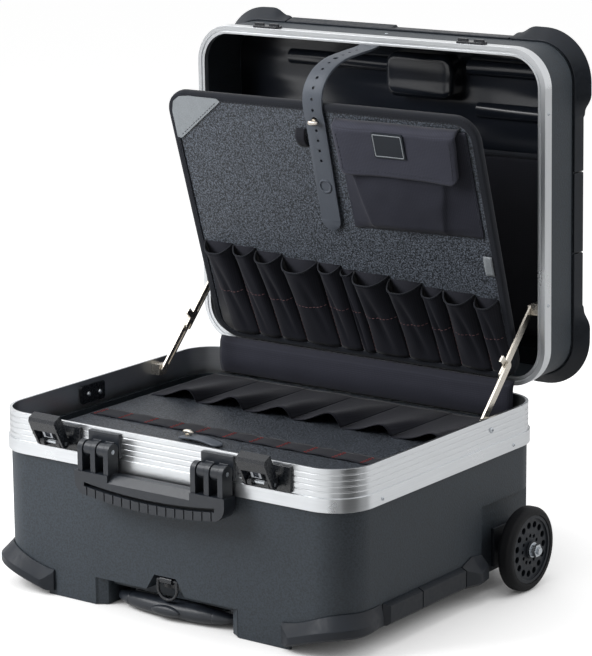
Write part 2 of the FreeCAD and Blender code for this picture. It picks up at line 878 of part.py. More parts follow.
def carry_handle():
    """Moulded carry handle: three ears a side, a broad web, a bowed finger groove and a bowed, ribbed lip."""
    pin_y = front_y - handle_pin_out
    back = pin_y + ear_radius - handle_back_inset
    face = back - grip_depth
    r = grip_corner
    k = r * (1 - math.sqrt(0.5))
    bottom = grip_foot
    grip = arc_prism([(V(-handle_half, back, grip_top), None), (V(handle_half, back, grip_top), None),
                      (V(handle_half, back, bottom + r), V(handle_half - k, back, bottom + k)),
                      (V(handle_half - r, back, bottom), V(0, back, bottom - grip_sag)),
                      (V(-handle_half + r, back, bottom), V(-handle_half + k, back, bottom + k)),
                      (V(-handle_half, back, bottom + r), None)], Y_AXIS * -1, grip_depth)
    pieces = [grip]
    for place in ear_places():
        for side in (-1, 1):
            x0 = side * place - ear_width / 2
            pieces.append(rod_x(x0, x0 + ear_width, pin_y, handle_pin_z, 2 * ear_radius))
            pieces.append(box(x0, x0 + ear_width, pin_y - ear_radius, back, grip_top - ear_root,
                              handle_pin_z))
    handle = fuse(pieces)
    inner = handle_x - handle_bracket_half
    ahead = face - cut_reach
    above = grip_top + cut_reach
    slope = prism_x([(ahead, above), (face + grip_slope, above), (face + grip_slope, grip_top),
                     (face, finger_groove_z + grip_slope_foot), (ahead, finger_groove_z + grip_slope_foot)],
                    -inner, inner)
    ribs = []
    for i in range(grip_rib_count + 1):
        x = (i - grip_rib_count / 2) * grip_rib_pitch
        sag = grip_sag * (1 - (x / finger_groove_half) ** 2)
        ribs.append(box(x - grip_rib_groove / 2, x + grip_rib_groove / 2, ahead, face + grip_rib_depth,
                        bottom - cut_reach, finger_groove_z - sag + finger_groove_height / 2))
    bore = rod_x(-case_width, case_width, pin_y, handle_pin_z, handle_pin_diameter + 2 * running_gap)
    return cut(handle, [slope, finger_groove(ahead, cut_reach + finger_groove_depth), bore] + ribs)


def latch_plate_solid(x):
    """Latch plate on the band, with two lugs for the lever's pin and a side block."""
    y = front_y - latch_pivot_out
    z = latch_pivot_z
    plate = box(x - latch_plate_half, x + latch_plate_half, front_y - latch_plate, front_y,
                handle_plate_foot, handle_plate_top)
    pieces = [plate]
    for side in (-1, 1):
        x0 = x + side * latch_lug_x - latch_lug / 2
        pieces.append(rod_x(x0, x0 + latch_lug, y, z, 2 * latch_boss))
        pieces.append(box(x0, x0 + latch_lug, y, front_y - knuckle_weld, z - latch_boss,
                          z + latch_boss - knuckle_weld))
    block = box(x - latch_plate_half, x - latch_plate_half + latch_block, y, front_y - knuckle_weld,
                z + latch_block_foot, z + latch_block_top)
    front_edges = [e for e in block.Edges if e.BoundBox.YMax < y + seat_gap]
    pieces.append(block.makeChamfer(latch_block_edge, front_edges))
    bore = rod_x(x - latch_plate_half, x + latch_plate_half, y, z, latch_pin_diameter + 2 * running_gap)
    return fuse(pieces).cut(bore)


def latch_pin_solid(x):
    """Pin of one latch lever."""
    return rod_x(x - lever_half, x + lever_half, front_y - latch_pivot_out, latch_pivot_z, latch_pin_diameter)


def latch_lever(x):
    """Raised latch lever: a hood on two cheeks that turn on the ends of the pin."""
    y = front_y - latch_pivot_out
    z = latch_pivot_z
    front = y - lever_depth / 2
    back = y + lever_depth / 2
    top = z + lever_height
    hood_foot = top - lever_hood
    hood = prism_x([(front, hood_foot), (front, top - lever_edge), (front + lever_edge, top), (back, top),
                    (back, hood_foot)], x - lever_half, x + lever_half)
    inner = lever_half - lever_wall
    hollow = box(x - inner, x + inner, front + lever_wall, back + cut_reach, hood_foot - cut_reach,
                 top - lever_wall)
    pieces = [hood.cut(hollow)]
    for x0 in (x - lever_half, x + inner):
        cheek = prism_x([(y - latch_boss, z), (front, hood_foot + lever_edge), (back, hood_foot + lever_edge),
                         (y + latch_boss, z)], x0, x0 + lever_wall)
        pieces.extend([cheek, rod_x(x0, x0 + lever_wall, y, z, 2 * latch_boss)])
    bore = rod_x(x - latch_plate_half, x + latch_plate_half, y, z, latch_pin_diameter + 2 * running_gap)
    return turned_x(fuse(pieces).cut(bore), y, z, lever_lean)


def latch_claw(x):
    """Chromed claw under the lever's hood."""
    pivot_y = front_y - latch_pivot_out
    y = pivot_y - lever_depth / 2 + lever_wall
    back = y + claw_depth
    foot = latch_pivot_z + claw_foot_rise
    top = latch_pivot_z + lever_height - lever_wall
    hook = prism_x([(y, foot + claw_edge), (y + claw_edge, foot), (back, foot), (back, top), (y, top)],
                   x - claw_half, x + claw_half)
    slot_half = claw_half - claw_slot_edge
    slot = box(x - slot_half, x + slot_half, y - cut_reach, back - claw_slot_floor, foot + claw_slot_edge,
               latch_pivot_z + lever_height - lever_hood)
    return turned_x(hook.cut(slot), pivot_y, latch_pivot_z, lever_lean)


def latch_keeper(x):
    """Keeper on the lid frame that a latch claw pulls on."""
    z0 = rim_z + keeper_rise
    z1 = z0 + keeper_height
    face = front_y - keeper_plate
    lip = face - keeper_lip
    lip_foot = z0 + keeper_lip_height
    lip_top = z0 + 2 * keeper_lip_height
    plate = prism_x([(front_y, z0), (front_y, z1), (face, z1), (face, lip_top + knuckle_weld), (lip, lip_top),
                     (lip, lip_foot), (face, lip_foot), (face, z0)], x - keeper_half, x + keeper_half)
    gap = box(x - keeper_gap_half, x + keeper_gap_half, lip - cut_reach, face, z0 - cut_reach, z1 + cut_reach)
    return opened(plate.cut(gap))


def hinge_knuckles(x, first):
    """Every other knuckle of one hinge, as plain barrels."""
    pitch = hinge_length / knuckle_count
    barrels = []
    for i in range(first, knuckle_count, 2):
        x0 = x - hinge_length / 2 + i * pitch + knuckle_gap / 2
        barrels.append(rod_x(x0, x0 + pitch - knuckle_gap, hinge_y, hinge_z, 2 * knuckle_radius))
    return barrels


def hinge_leaf_solid(x, first, z0, z1):
    """Hinge leaf with its knuckles, drawn on the closed case."""
    pitch = hinge_length / knuckle_count
    y1 = half_depth + hinge_leaf
    relief = []
    for i in range(1 - first, knuckle_count, 2):
        x0 = x - hinge_length / 2 + i * pitch - knuckle_gap / 2
        relief.append(rod_x(x0, x0 + pitch + knuckle_gap, hinge_y, hinge_z,
                            2 * (knuckle_radius + knuckle_relief)))
    leaf = box(x - hinge_length / 2, x + hinge_length / 2, half_depth, y1, z0, z1)
    solid = fuse([cut(leaf, relief)] + hinge_knuckles(x, first))
    bore = hinge_pin_diameter + 2 * running_gap
    return solid.cut(rod_x(x - hinge_length, x + hinge_length, hinge_y, hinge_z, bore))


def hinge_pin(x):
    """Pin of one lid hinge."""
    return rod_x(x - hinge_length / 2, x + hinge_length / 2, hinge_y, hinge_z, hinge_pin_diameter)


def lid_frame():
    """Aluminium lid frame: a grooved rim and a band that laps over the lid shell."""
    inner = -lid_rim_width
    rim_top = rim_z + lid_rim_thickness
    rim = case_ring(0, inner, rim_z, rim_top)
    band = case_ring(0, -lid_band_wall, rim_z, rim_z + lid_band_depth)
    lip = case_ring(inner + lid_lip_wall, inner, rim_z, rim_top + lid_lip_height)
    middle = inner / 2
    groove = case_ring(middle, middle - lid_rim_groove_width, rim_z - cut_reach, rim_z + lid_rim_groove)
    return fuse([rim, band, lip]).cut(groove)


def lid_block(offset, z0):
    """Plain block of the closed lid with its rounded back edge, spread by an offset."""
    block = case_slab(offset - shell_inset, z0, lid_top + offset)
    back = [e for e in block.Edges if e.BoundBox.ZMin > lid_top + offset - seat_gap / 2]
    return block.makeFillet(lid_back_round + offset, back)


def lid_shell():
    """Moulded lid shell with rounded back edges and a shadow groove under the bumpers."""
    foot = rim_z + lid_rim_thickness + seat_gap
    inner = case_slab(-shell_inset - shell_wall, foot - cut_reach, lid_top - shell_wall)
    groove_z = lid_top - lid_bumper_height
    groove = case_ring(0, -shell_inset - lid_groove_depth, groove_z - lid_groove_height, groove_z)
    return lid_block(0, foot).cut(inner).cut(groove)


def lid_bumper_section(proud):
    """Section of a lid bumper: nearly flush at its foot, full near the lid's back, and over the back edge."""
    foot = lid_top - lid_bumper_height
    cap = lid_top + lid_bumper_cap
    return [(-bumper_depth, foot), (lid_bumper_foot, foot), (proud, cap - lid_bumper_edge),
            (proud - lid_bumper_edge, cap), (-lid_bumper_lap, cap), (-lid_bumper_lap, lid_top - bumper_depth),
            (-bumper_depth, lid_top - lid_back_round)]


def lid_side_bar(y0, y1):
    """Length of the strip section along the lid's right side."""
    return prism_y([(half_width + offset, z) for offset, z in lid_bumper_section(lid_strip_proud)], y0, y1)


def lid_corner_bumpers():
    """Four flared corner bumpers round the back edge of the lid, each with a flat arm along the side."""
    edge_to_travel = corner_arc - corner_radius
    flat = lid_bumper_flat + edge_to_travel
    end = lid_bumper_length + edge_to_travel
    stations = []
    for i in range(-lid_bumper_steps, lid_bumper_steps + 1):
        travel = end * i / lid_bumper_steps
        fall = eased((abs(travel) - flat) / (end - flat))
        proud = bumper_flare + (lid_strip_proud - bumper_flare) * fall
        stations.append((travel, lid_bumper_section(proud)))
    arm = lid_side_bar(front_y + lid_bumper_length, front_y + lid_side_joint - strip_joint / 2)
    bumper = fuse([swept(stations), arm]).cut(lid_block(seat_gap, rim_z))
    corners = [bumper, mirrored(bumper)]
    corners += [corner.mirror(V(0, 0, 0), Y_AXIS) for corner in corners]
    return [opened(corner) for corner in corners]


def lid_edge_strips():
    """Flatter strips between the lid's corner bumpers; the front one steps down at its right."""
    inner_x = half_width - lid_bumper_length - strip_joint
    inner_y = half_depth - lid_side_joint - strip_joint / 2
    full = lid_bumper_section(lid_strip_proud)
    low = lid_bumper_section(lid_strip_low)
    front = fuse([prism_x([(front_y - offset, z) for offset, z in full], -inner_x, lid_strip_step_x),
                  prism_x([(front_y - offset, z) for offset, z in low], lid_strip_step_x, inner_x)])
    rear = prism_x([(half_depth + offset, z) for offset, z in full], -inner_x, inner_x)
    side = lid_side_bar(-inner_y, inner_y)
    block = lid_block(seat_gap, rim_z)
    return [opened(strip.cut(block)) for strip in (front, rear, side, mirrored(side))]


def lid_liner():
    """Glossy lid lining with pressed bars and a boss."""
    top = lid_top - shell_wall - seat_gap
    margin = -shell_inset - shell_wall - liner_margin
    z = top - liner_thickness
    pieces = [case_slab(margin, z, top)]
    room = box(-half_width, half_width, -half_depth, half_depth, z - cut_reach, top)
    for start, end, drop in liner_bars:
        bar = rod_x(start * half_width, end * half_width, front_y + drop, z, 2 * liner_bar_radius)
        pieces.append(bar.common(room))
    foot = z - liner_boss_height
    boss = rounded_slab(liner_boss_width, liner_boss_length, liner_boss_corner, foot, top - liner_weld)
    boss = boss.makeFillet(liner_boss_round, [e for e in boss.Edges if e.BoundBox.ZMax < foot + seat_gap])
    pieces.append(shifted(boss, liner_boss_x, front_y + liner_boss_drop))
    return opened(fuse(pieces))


def document_pocket():
    """Flat cloth document pocket on the back of the lid."""
    top = lid_top - shell_wall - 2 * seat_gap - liner_thickness
    length = document_foot_y - document_top_y
    pad = rounded_slab(2 * document_half, length, document_corner, top - document_depth, top,
                       document_top_y + length / 2)
    return opened(pad)


def panel_slab(inset, z0, z1):
    """Slab of the tool panel's outline, drawn in the closed lid."""
    return rounded_slab(panel_width - 2 * inset, panel_length - 2 * inset, panel_corner - inset, z0, z1,
                        panel_foot_y - panel_length / 2)


def panel_binding():
    """Cloth binding wrapped round the edge of the tool panel."""
    ring = panel_slab(-binding_thickness, panel_face_z - binding_thickness, panel_back_z + binding_thickness)
    ring = ring.cut(panel_slab(binding_width, panel_face_z - cut_reach, panel_back_z + cut_reach))
    slack = seat_gap / 3
    return leaned(ring.cut(panel_slab(-slack, panel_face_z - slack, panel_back_z + slack)))


def panel_place(x, s, z):
    """Point on the closed tool panel, s up from its foot."""
    return V(x, panel_foot_y - s, z)


def pocket_section(x0, x1, s, bulge):
    """Cross section of a cloth pocket: a flat back and a bowed front."""
    z = panel_face_z - seat_gap
    start = panel_place(x0, s, z)
    end = panel_place(x1, s, z)
    middle = panel_place((x0 + x1) / 2, s, z - bulge)
    return Part.Wire([Part.Arc(start, middle, end).toShape(), Part.makeLine(end, start)])


def panel_pockets():
    """Row of cloth pockets along the foot of the tool panel."""
    scale = pocket_row / sum(pocket_widths)
    x = -pocket_row / 2
    inside = panel_slab(binding_width + seat_gap, panel_face_z - cut_reach, panel_face_z)
    pockets = []
    for pocket_width in pocket_widths:
        width = pocket_width * scale
        share = (x + width / 2 + pocket_row / 2) / pocket_row
        top = panel_length * (pocket_tall_share + (pocket_short_share - pocket_tall_share) * share)
        bulge = min(pocket_bulge, pocket_bulge_share * width)
        x0 = x + pocket_seam / 2
        x1 = x + width - pocket_seam / 2
        loft = Part.makeLoft([pocket_section(x0, x1, pocket_foot, pocket_foot_bulge),
                              pocket_section(x0, x1, top, bulge)], True, True)
        pockets.append(leaned(loft.common(inside)))
        x += width
    return pockets


def flap_pocket():
    """Large cloth pocket under a flap."""
    z1 = panel_face_z - seat_gap
    z0 = z1 - flap_pocket_depth
    pocket = rounded_slab(flap_pocket_width, flap_pocket_height, flap_pocket_corner, z0, z1,
                          panel_foot_y - flap_pocket_foot - flap_pocket_height / 2)
    rim = [e for e in pocket.Edges if e.BoundBox.ZMax < z0 + seat_gap / 2]
    return leaned(shifted(pocket.makeFillet(flap_pocket_round, rim), flap_pocket_x))


def pocket_flap():
    """Flap that closes the large pocket."""
    z1 = panel_face_z - seat_gap - flap_pocket_depth - flap_gap
    top = flap_pocket_foot + flap_pocket_height
    flap = rounded_slab(flap_pocket_width - 2 * flap_inset, flap_height, flap_corner, z1 - flap_thickness, z1,
                        panel_foot_y - top + flap_height / 2)
    return leaned(shifted(flap, flap_pocket_x))


def stud_base(x, y, z, down):
    """Round base of a turn-lock stud on a face that looks down or up."""
    z0, z1 = (z - stud_height, z) if down else (z, z + stud_height)
    return rod_z(z0, z1, x, y, stud_diameter)


def turn_key(x, y, z, down):
    """Wing of a turn-lock stud."""
    z0 = z - stud_height - seat_gap - key_height if down else z + stud_height + seat_gap
    wing = rounded_slab(key_length, key_width, key_width / 2 - running_gap, z0, z0 + key_height)
    return shifted(wing, x, y)


def strap_face_z():
    """Height of the strap's back on the closed tool panel, clear of the binding."""
    return panel_face_z - binding_thickness - seat_gap


def strap_edge_y():
    """Place on the closed tool panel where the strap leaves it, past the binding."""
    return panel_foot_y - panel_length - binding_thickness - seat_gap


def strap_lay():
    """Stretch of the strap that lies on the tool panel, with the hole for the stud."""
    z = strap_face_z()
    tip_y = panel_foot_y - strap_tip
    edge_y = strap_edge_y()
    length = tip_y - edge_y + strap_width
    lay = rounded_slab(strap_width, length, strap_width / 2 - running_gap, z - strap_thickness, z,
                       tip_y - length / 2)
    lay = lay.cut(box(-case_width, case_width, -case_depth, edge_y, 0, lid_top))
    stud_y = panel_foot_y - strap_stud_place
    hole = stud_diameter + 2 * strap_hole_gap
    return lay.cut(rod_z(z - cut_reach, z + cut_reach, 0, stud_y, hole))


def retaining_strap():
    """Rubber strap: a bowed bridge from the lid frame and a flat stretch on the tool panel."""
    half = strap_width / 2
    z = strap_face_z()
    edge_y = strap_edge_y()
    inner_start = leaned(Part.Vertex(V(0, edge_y, z))).Point
    outer_start = leaned(Part.Vertex(V(0, edge_y, z - strap_thickness))).Point
    rim_y = front_y + lid_rim_width + seat_gap
    anchor_z = rim_z + strap_anchor
    inner_end = opened(Part.Vertex(V(0, rim_y + strap_thickness, anchor_z))).Point
    outer_end = opened(Part.Vertex(V(0, rim_y, anchor_z))).Point
    along = inner_end - inner_start
    along.normalize()
    rise = V(0, -along.z, along.y)
    middle = (inner_start + inner_end) * 0.5 + rise * strap_bow
    left = V(-half, 0, 0)
    bridge = arc_prism([(inner_start + left, middle + left), (inner_end + left, None),
                        (outer_end + left, middle + left + rise * strap_thickness),
                        (outer_start + left, None)],
                       X_AXIS, strap_width)
    return fuse([leaned(strap_lay()), bridge])


def stay_geometry():
    """Length of a stay link and the elbow place when the lid is open."""
    lower = V(0, stay_lower_y, stay_lower_z)
    upper = V(0, stay_upper_y, stay_upper_z)
    return (upper - lower).Length / 2, (upper + lower) * 0.5


def stay_link(x0, x1, start, end, tab):
    """Pressed channel link between two pivots on the right side of the case."""
    direction = end - start
    length = direction.Length
    half = stay_width / 2
    web = fuse([box(x0, x1, 0, length, -half, half), rod_x(x0, x1, 0, 0, stay_width),
                rod_x(x0, x1, length, 0, stay_width)])
    bead_half = half - stay_bead_margin
    bead = box(x0 - cut_reach, x0 + stay_bead_depth, stay_width, length - stay_width, -bead_half, bead_half)
    link = web.cut(bead)
    if tab:
        link = fuse([link, box(x0, x1, length - stay_tab_half, length + stay_tab_half, half - stay_tab_root,
                               half + stay_tab)])
    angle = math.degrees(math.atan2(direction.z, direction.y))
    link = turned_x(link, 0, 0, angle)
    link.translate(V(0, start.y, start.z))
    return link


def stay_lower_plane():
    """X places of the lower stay link, beside the inside of the frame."""
    outer = half_width - band_wall - stay_wall_gap
    return outer - stay_thickness, outer


def stay_upper_plane():
    """X places of the upper stay link, beside the lower one."""
    outer = stay_lower_plane()[0] - stay_gap
    return outer - stay_thickness, outer


def stay_lower():
    """Right lower link, pinned to the base frame."""
    x0, x1 = stay_lower_plane()
    elbow = stay_geometry()[1]
    link = stay_link(x0, x1, V(0, stay_lower_y, stay_lower_z), elbow, False)
    bore = stay_rivet + 2 * running_gap
    return link.cut(rod_x(x0 - cut_reach, x1 + cut_reach, stay_lower_y, stay_lower_z, bore))


def stay_upper():
    """Right upper link, pinned to the lid frame, with the thumb tab at the elbow."""
    x0, x1 = stay_upper_plane()
    elbow = stay_geometry()[1]
    link = stay_link(x0, x1, V(0, stay_upper_y, stay_upper_z), elbow, False)
    tab = stay_link(x0, x1, V(0, stay_lower_y, stay_lower_z), elbow, True)
    near = stay_width / 2 + stay_tab
    tip = box(x0 - cut_reach, x1 + cut_reach, elbow.y - near, elbow.y + near, elbow.z - near, elbow.z + near)
    bore = stay_rivet + 2 * running_gap
    pivot = rod_x(x0 - cut_reach, x1 + cut_reach, stay_upper_y, stay_upper_z, bore)
    return fuse([link, tab.common(tip)]).cut(pivot)


def stay_base_bracket():
    """Right bracket with the lower link's rivet, on the inside of the base frame."""
    x0, x1 = stay_lower_plane()
    half = stay_bracket / 2
    wall = half_width - band_wall
    plate = box(x1 + seat_gap, wall, stay_lower_y - half, stay_lower_y + half, stay_lower_z - half,
                stay_lower_z + half)
    rivet = rod_x(x0, x1 + knuckle_weld, stay_lower_y, stay_lower_z, stay_rivet)
    return fuse([plate, rivet])


def stay_lid_bracket():
    """Right bracket with the upper link's rivet, on the inside of the lid frame."""
    x0, x1 = stay_upper_plane()
    half = stay_bracket / 2
    wall = half_width - lid_rim_width
    y = stay_upper_y + stay_bracket_shift
    plate = box(x1 + seat_gap, wall, y - half, y + half, stay_upper_z - half, stay_upper_z + half)
    end = x0 - stay_rivet_proud
    rivet = rod_x(end, x1 + knuckle_weld, stay_upper_y, stay_upper_z, stay_rivet)
    head = rod_x(end, x0 - seat_gap, stay_upper_y, stay_upper_z, stay_rivet_head)
    return fuse([plate, rivet, head])


def tyre(x0):
    """Solid tyre with rounded shoulders."""
    radius = wheel_diameter / 2
    tread = rod_x(x0, x0 + wheel_width, wheel_y, wheel_z, wheel_diameter)
    tread = tread.makeFillet(tyre_shoulder, [e for e in tread.Edges if len(e.Vertexes) == 1])
    bore = 2 * (radius - tyre_thickness)
    return tread.cut(rod_x(x0 - cut_reach, x0 + wheel_width + cut_reach, wheel_y, wheel_z, bore))


def hub(x0):
    """Moulded hub with two circles of holes and a dished face."""
    outer = wheel_diameter - 2 * tyre_thickness
    x1 = x0 + wheel_width
    disc = rod_x(x0 + hub_recess, x1 - hub_recess, wheel_y, wheel_z, outer)
    dish = rod_x(x1 - hub_dish, x1 + cut_reach, wheel_y, wheel_z, outer - 2 * hub_rim)
    nave = rod_x(x0 + seat_gap, x1 - seat_gap, wheel_y, wheel_z, nave_diameter)
    tools = [rod_x(x0 - cut_reach, x1 + cut_reach, wheel_y, wheel_z, axle_diameter + 2 * running_gap)]
    rows = [(hub_hole_count, hub_hole_diameter, outer * hub_hole_circle),
            (hub_inner_hole_count, hub_inner_hole_diameter, outer * hub_inner_hole_circle)]
    for count, diameter, circle in rows:
        for i in range(count):
            turn = 2 * math.pi * i / count
            tools.append(rod_x(x0 - cut_reach, x1 + cut_reach, wheel_y + circle * math.cos(turn),
                               wheel_z + circle * math.sin(turn), diameter))
    return cut(fuse([disc.cut(dish), nave]), tools)


def hexagon(x0, x1, flats):
    """Hexagonal prism on the wheel's axle."""
    radius = flats / math.sqrt(3)
    turns = [math.pi / 3 * i for i in range(6)]
    points = [(wheel_y + radius * math.cos(turn), wheel_z + radius * math.sin(turn)) for turn in turns]
    return prism_x(points, x0, x1)


def axle_bolt():
    """Right axle bolt, from inside the case to past the nut."""
    inside = well_x - shell_wall
    end = wheel_outer_x + washer_thickness + nut_height + axle_end
    shank = rod_x(inside - axle_head_height, end, wheel_y, wheel_z, axle_diameter)
    head = rod_x(inside - axle_head_height, inside, wheel_y, wheel_z, axle_head_diameter)
    return fuse([shank, head])


def axle_nut():
    """Right axle nut."""
    x0 = wheel_outer_x + washer_thickness
    bore = rod_x(x0 - cut_reach, x0 + cut_reach, wheel_y, wheel_z, axle_diameter + 2 * running_gap)
    return hexagon(x0, x0 + nut_height, nut_flats).cut(bore)


def axle_washers():
    """Right washers, one on each side of the wheel."""
    hole = axle_diameter + 2 * running_gap
    washers = []
    for x0 in (wheel_inner_x - washer_thickness, wheel_outer_x):
        disc = rod_x(x0, x0 + washer_thickness, wheel_y, wheel_z, washer_diameter)
        washers.append(disc.cut(rod_x(x0 - cut_reach, x0 + cut_reach, wheel_y, wheel_z, hole)))
    return washers


def wheel_bracket():
    """Right moulded boss that holds the axle bolt off the shell."""
    end = wheel_inner_x - washer_thickness
    root = V(well_x, wheel_y, wheel_z)
    cone = Part.makeCone(boss_diameter / 2, washer_diameter / 2, end - well_x, root, X_AXIS)
    plate = box(well_x, well_x + boss_plate, wheel_y - boss_plate_half, wheel_y + boss_plate_half,
                wheel_z - boss_plate_drop, wheel_z + boss_plate_half)
    bore = rod_x(well_x - cut_reach, end + cut_reach, wheel_y, wheel_z, axle_diameter + 2 * running_gap)
    return fuse([cone, plate]).cut(bore)


def ring_axis_y():
    """Depth of the tow ring's hinge line."""
    return shell_front_y + ring_set_in


def ring_bracket():
    """Bracket with the sleeve that carries the tow ring."""
    y = ring_axis_y()
    z = ring_axis_z
    back = shell_front_y + notch_depth
    arm_half = ring_sleeve_half - ring_arm_inset
    plate_half = ring_sleeve_half + ring_plate_over
    sleeve = rod_x(-ring_sleeve_half, ring_sleeve_half, y, z, 2 * ring_sleeve_radius)
    arm = box(-arm_half, arm_half, y, back, z - ring_arm_drop, z + ring_arm_rise)
    foot = box(-plate_half, plate_half, back - ring_plate, back, z - ring_plate_drop, z + ring_plate_over)
    bore = rod_x(-plate_half, plate_half, y, z, ring_wire + 2 * running_gap)
    return fuse([sleeve, arm, foot]).cut(bore)


def tow_ring():
    """D-shaped wire ring that hangs in the notch."""
    y = ring_axis_y()
    r = ring_half
    centre_z = ring_foot + ring_wire / 2 + r
    bar = rod_x(-r, r, y, ring_axis_z, ring_wire)
    legs = [rod_z(centre_z, ring_axis_z, side * r, y, ring_wire) for side in (-1, 1)]
    corners = [Part.makeSphere(ring_wire / 2, V(side * r, y, ring_axis_z)) for side in (-1, 1)]
    bow = Part.makeTorus(r, ring_wire / 2, V(0, y, centre_z), Y_AXIS)
    bow = bow.common(box(-2 * r, 2 * r, y - ring_wire, y + ring_wire, centre_z - 2 * r, centre_z))
    return fuse([bar, bow] + legs + corners)


def pallet_board():
    """Board of the base tool panel, which lies on two ledges."""
    foot = pallet_top - pallet_thickness
    return rounded_slab(2 * pallet_half, pallet_depth, pallet_corner, foot, pallet_top)


def pallet_ledge(side):
    """Angle ledge on the front or rear inner wall of the shell."""
    wall = half_depth - shell_inset - shell_wall
    top = pallet_top - pallet_thickness
    y0, y1 = sorted((side * wall, side * (wall - ledge_thickness)))
    web = box(-ledge_half, ledge_half, y0, y1, top - ledge_height, top)
    y0, y1 = sorted((side * wall, side * (wall - ledge_height)))
    return fuse([web, box(-ledge_half, ledge_half, y0, y1, top - ledge_thickness, top)])


def pallet_loops():
    """Row of elastic tool loops across the base tool panel: one band, raised into loops."""
    half_row = loop_count * loop_pitch / 2 + loop_end
    y0 = loop_y - loop_depth / 2
    foot = pallet_top + loop_tape / 2
    pieces = [box(-half_row, half_row, y0, y0 + loop_depth, pallet_top, pallet_top + loop_tape)]
    half = loop_pitch / 2 - loop_stitch
    for i in range(loop_count):
        x = (i - (loop_count - 1) / 2) * loop_pitch
        pieces.append(arc_prism([(V(x - half, y0, foot), V(x, y0, pallet_top + loop_height)),
                                 (V(x + half, y0, foot), None)], Y_AXIS, loop_depth))
    return fuse(pieces)


def billow_section(x0, x1, y, height):
    """Cross section of a billowing cloth pocket on the base tool panel."""
    start = V(x0, y, pallet_top)
    end = V(x1, y, pallet_top)
    middle = V((x0 + x1) / 2, y, pallet_top + height)
    return Part.Wire([Part.Arc(start, middle, end).toShape(), Part.makeLine(end, start)])


def pallet_pockets():
    """Row of billowing cloth pockets behind the loops."""
    width = 2 * billow_half / billow_count
    pockets = []
    for i in range(billow_count):
        x0 = -billow_half + i * width + pocket_seam / 2
        x1 = x0 + width - pocket_seam
        pockets.append(Part.makeLoft([billow_section(x0, x1, billow_front_y, billow_height),
                                      billow_section(x0, x1, billow_rear_y, billow_rear_height)], True, True))
    return pockets


def hinge_cover():
    """Cloth that covers the hinge line, bowed towards the front."""
    y = half_depth - band_wall - cover_set_off - cover_thickness
    middle = (cover_foot_z + cover_top_z) / 2
    t = cover_thickness
    sheet = arc_prism([(V(-cover_half, y, cover_foot_z), V(-cover_half, y - cover_bow, middle)),
                       (V(-cover_half, y, cover_top_z), None),
                       (V(-cover_half, y + t, cover_top_z), V(-cover_half, y + t - cover_bow, middle)),
                       (V(-cover_half, y + t, cover_foot_z), None)], X_AXIS, 2 * cover_half)
    return sheet


def build():
    """Makes every node of the case."""
    keep("base_shell", base_shell())
    keep("base_frame", base_frame())
    corner = base_corner_bumper()
    keep("base_corner_bumpers", corner, mirrored(corner))
    strips = base_side_strips()
    keep("base_side_strips", *strips, *[mirrored(strip) for strip in strips])
    keep("trolley_housing", trolley_housing())
    keep("trolley_guide_tubes", *trolley_guides())
    keep("trolley_stage_one", trolley_stage_one())
    keep("trolley_stage_two", *trolley_stage_two())
    keep("trolley_grip", trolley_grip())
    keep("trolley_button", trolley_button())
    for name, solid in [("handle_brackets", handle_bracket()), ("handle_pins", handle_pin()),
                        ("wheel_brackets", wheel_bracket()), ("axle_bolts", axle_bolt()),
                        ("axle_nuts", axle_nut()), ("stay_base_brackets", stay_base_bracket()),
                        ("stay_lid_brackets", stay_lid_bracket())]:
        keep(name, solid, mirrored(solid))
    washers = axle_washers()
    keep("axle_washers", *washers, *[mirrored(washer) for washer in washers])
    keep("carry_handle", carry_handle())
    keep("latch_plates", latch_plate_solid(-latch_x), latch_plate_solid(latch_x))
    keep("latch_pins", latch_pin_solid(-latch_x), latch_pin_solid(latch_x))
    keep("latch_keepers", latch_keeper(-latch_x), latch_keeper(latch_x))
    for side, x in (("left", -latch_x), ("right", latch_x)):
        keep("latch_lever_" + side, latch_lever(x))
        keep("latch_claw_" + side, latch_claw(x))
    rim_top = rim_z + hinge_lid_leaf_height + hinge_above
    base_leaf = hinge_leaf_solid(hinge_x, 0, hinge_z - hinge_leaf_height, hinge_z)
    lid_leaf = opened(hinge_leaf_solid(hinge_x, 1, hinge_z, rim_top))
    keep("hinge_base_leaves", base_leaf, mirrored(base_leaf))
    keep("hinge_lid_leaves", lid_leaf, mirrored(lid_leaf))
    keep("hinge_pins", hinge_pin(-hinge_x), hinge_pin(hinge_x))
    keep("lid_shell", opened(lid_shell()))
    keep("lid_frame", opened(lid_frame()))
    keep("lid_corner_bumpers", *lid_corner_bumpers())
    keep("lid_edge_strips", *lid_edge_strips())
    keep("lid_liner", lid_liner())
    keep("lid_document_pocket", document_pocket())
    keep("panel_board", leaned(panel_slab(0, panel_face_z, panel_back_z)))
    keep("panel_binding", panel_binding())
    keep("panel_pockets", *panel_pockets())
    keep("flap_pocket", flap_pocket())
    keep("pocket_flap", pocket_flap())
    stud_y = panel_foot_y - strap_stud_place
    keep("strap_stud", leaned(stud_base(0, stud_y, panel_face_z, True)))
    keep("strap_turn_key", leaned(turn_key(0, stud_y, panel_face_z, True)))
    keep("retaining_strap", retaining_strap())
    for name, solid in (("stay_lower_", stay_lower()), ("stay_upper_", stay_upper()),
                        ("tyre_", tyre(wheel_inner_x)), ("hub_", hub(wheel_inner_x))):
        keep(name + "right", solid)
        keep(name + "left", mirrored(solid))
    keep("ring_bracket", ring_bracket())
    keep("tow_ring", tow_ring())
    keep("pallet_board", pallet_board())
    keep("pallet_ledges", pallet_ledge(-1), pallet_ledge(1))
    keep("pallet_loops", pallet_loops())
    keep("pallet_pockets", *pallet_pockets())
    keep("pallet_stud", stud_base(pallet_stud_x, pallet_stud_y, pallet_top, False))
    keep("pallet_turn_key", turn_key(pallet_stud_x, pallet_stud_y, pallet_top, False))
    keep("hinge_cover", hinge_cover())


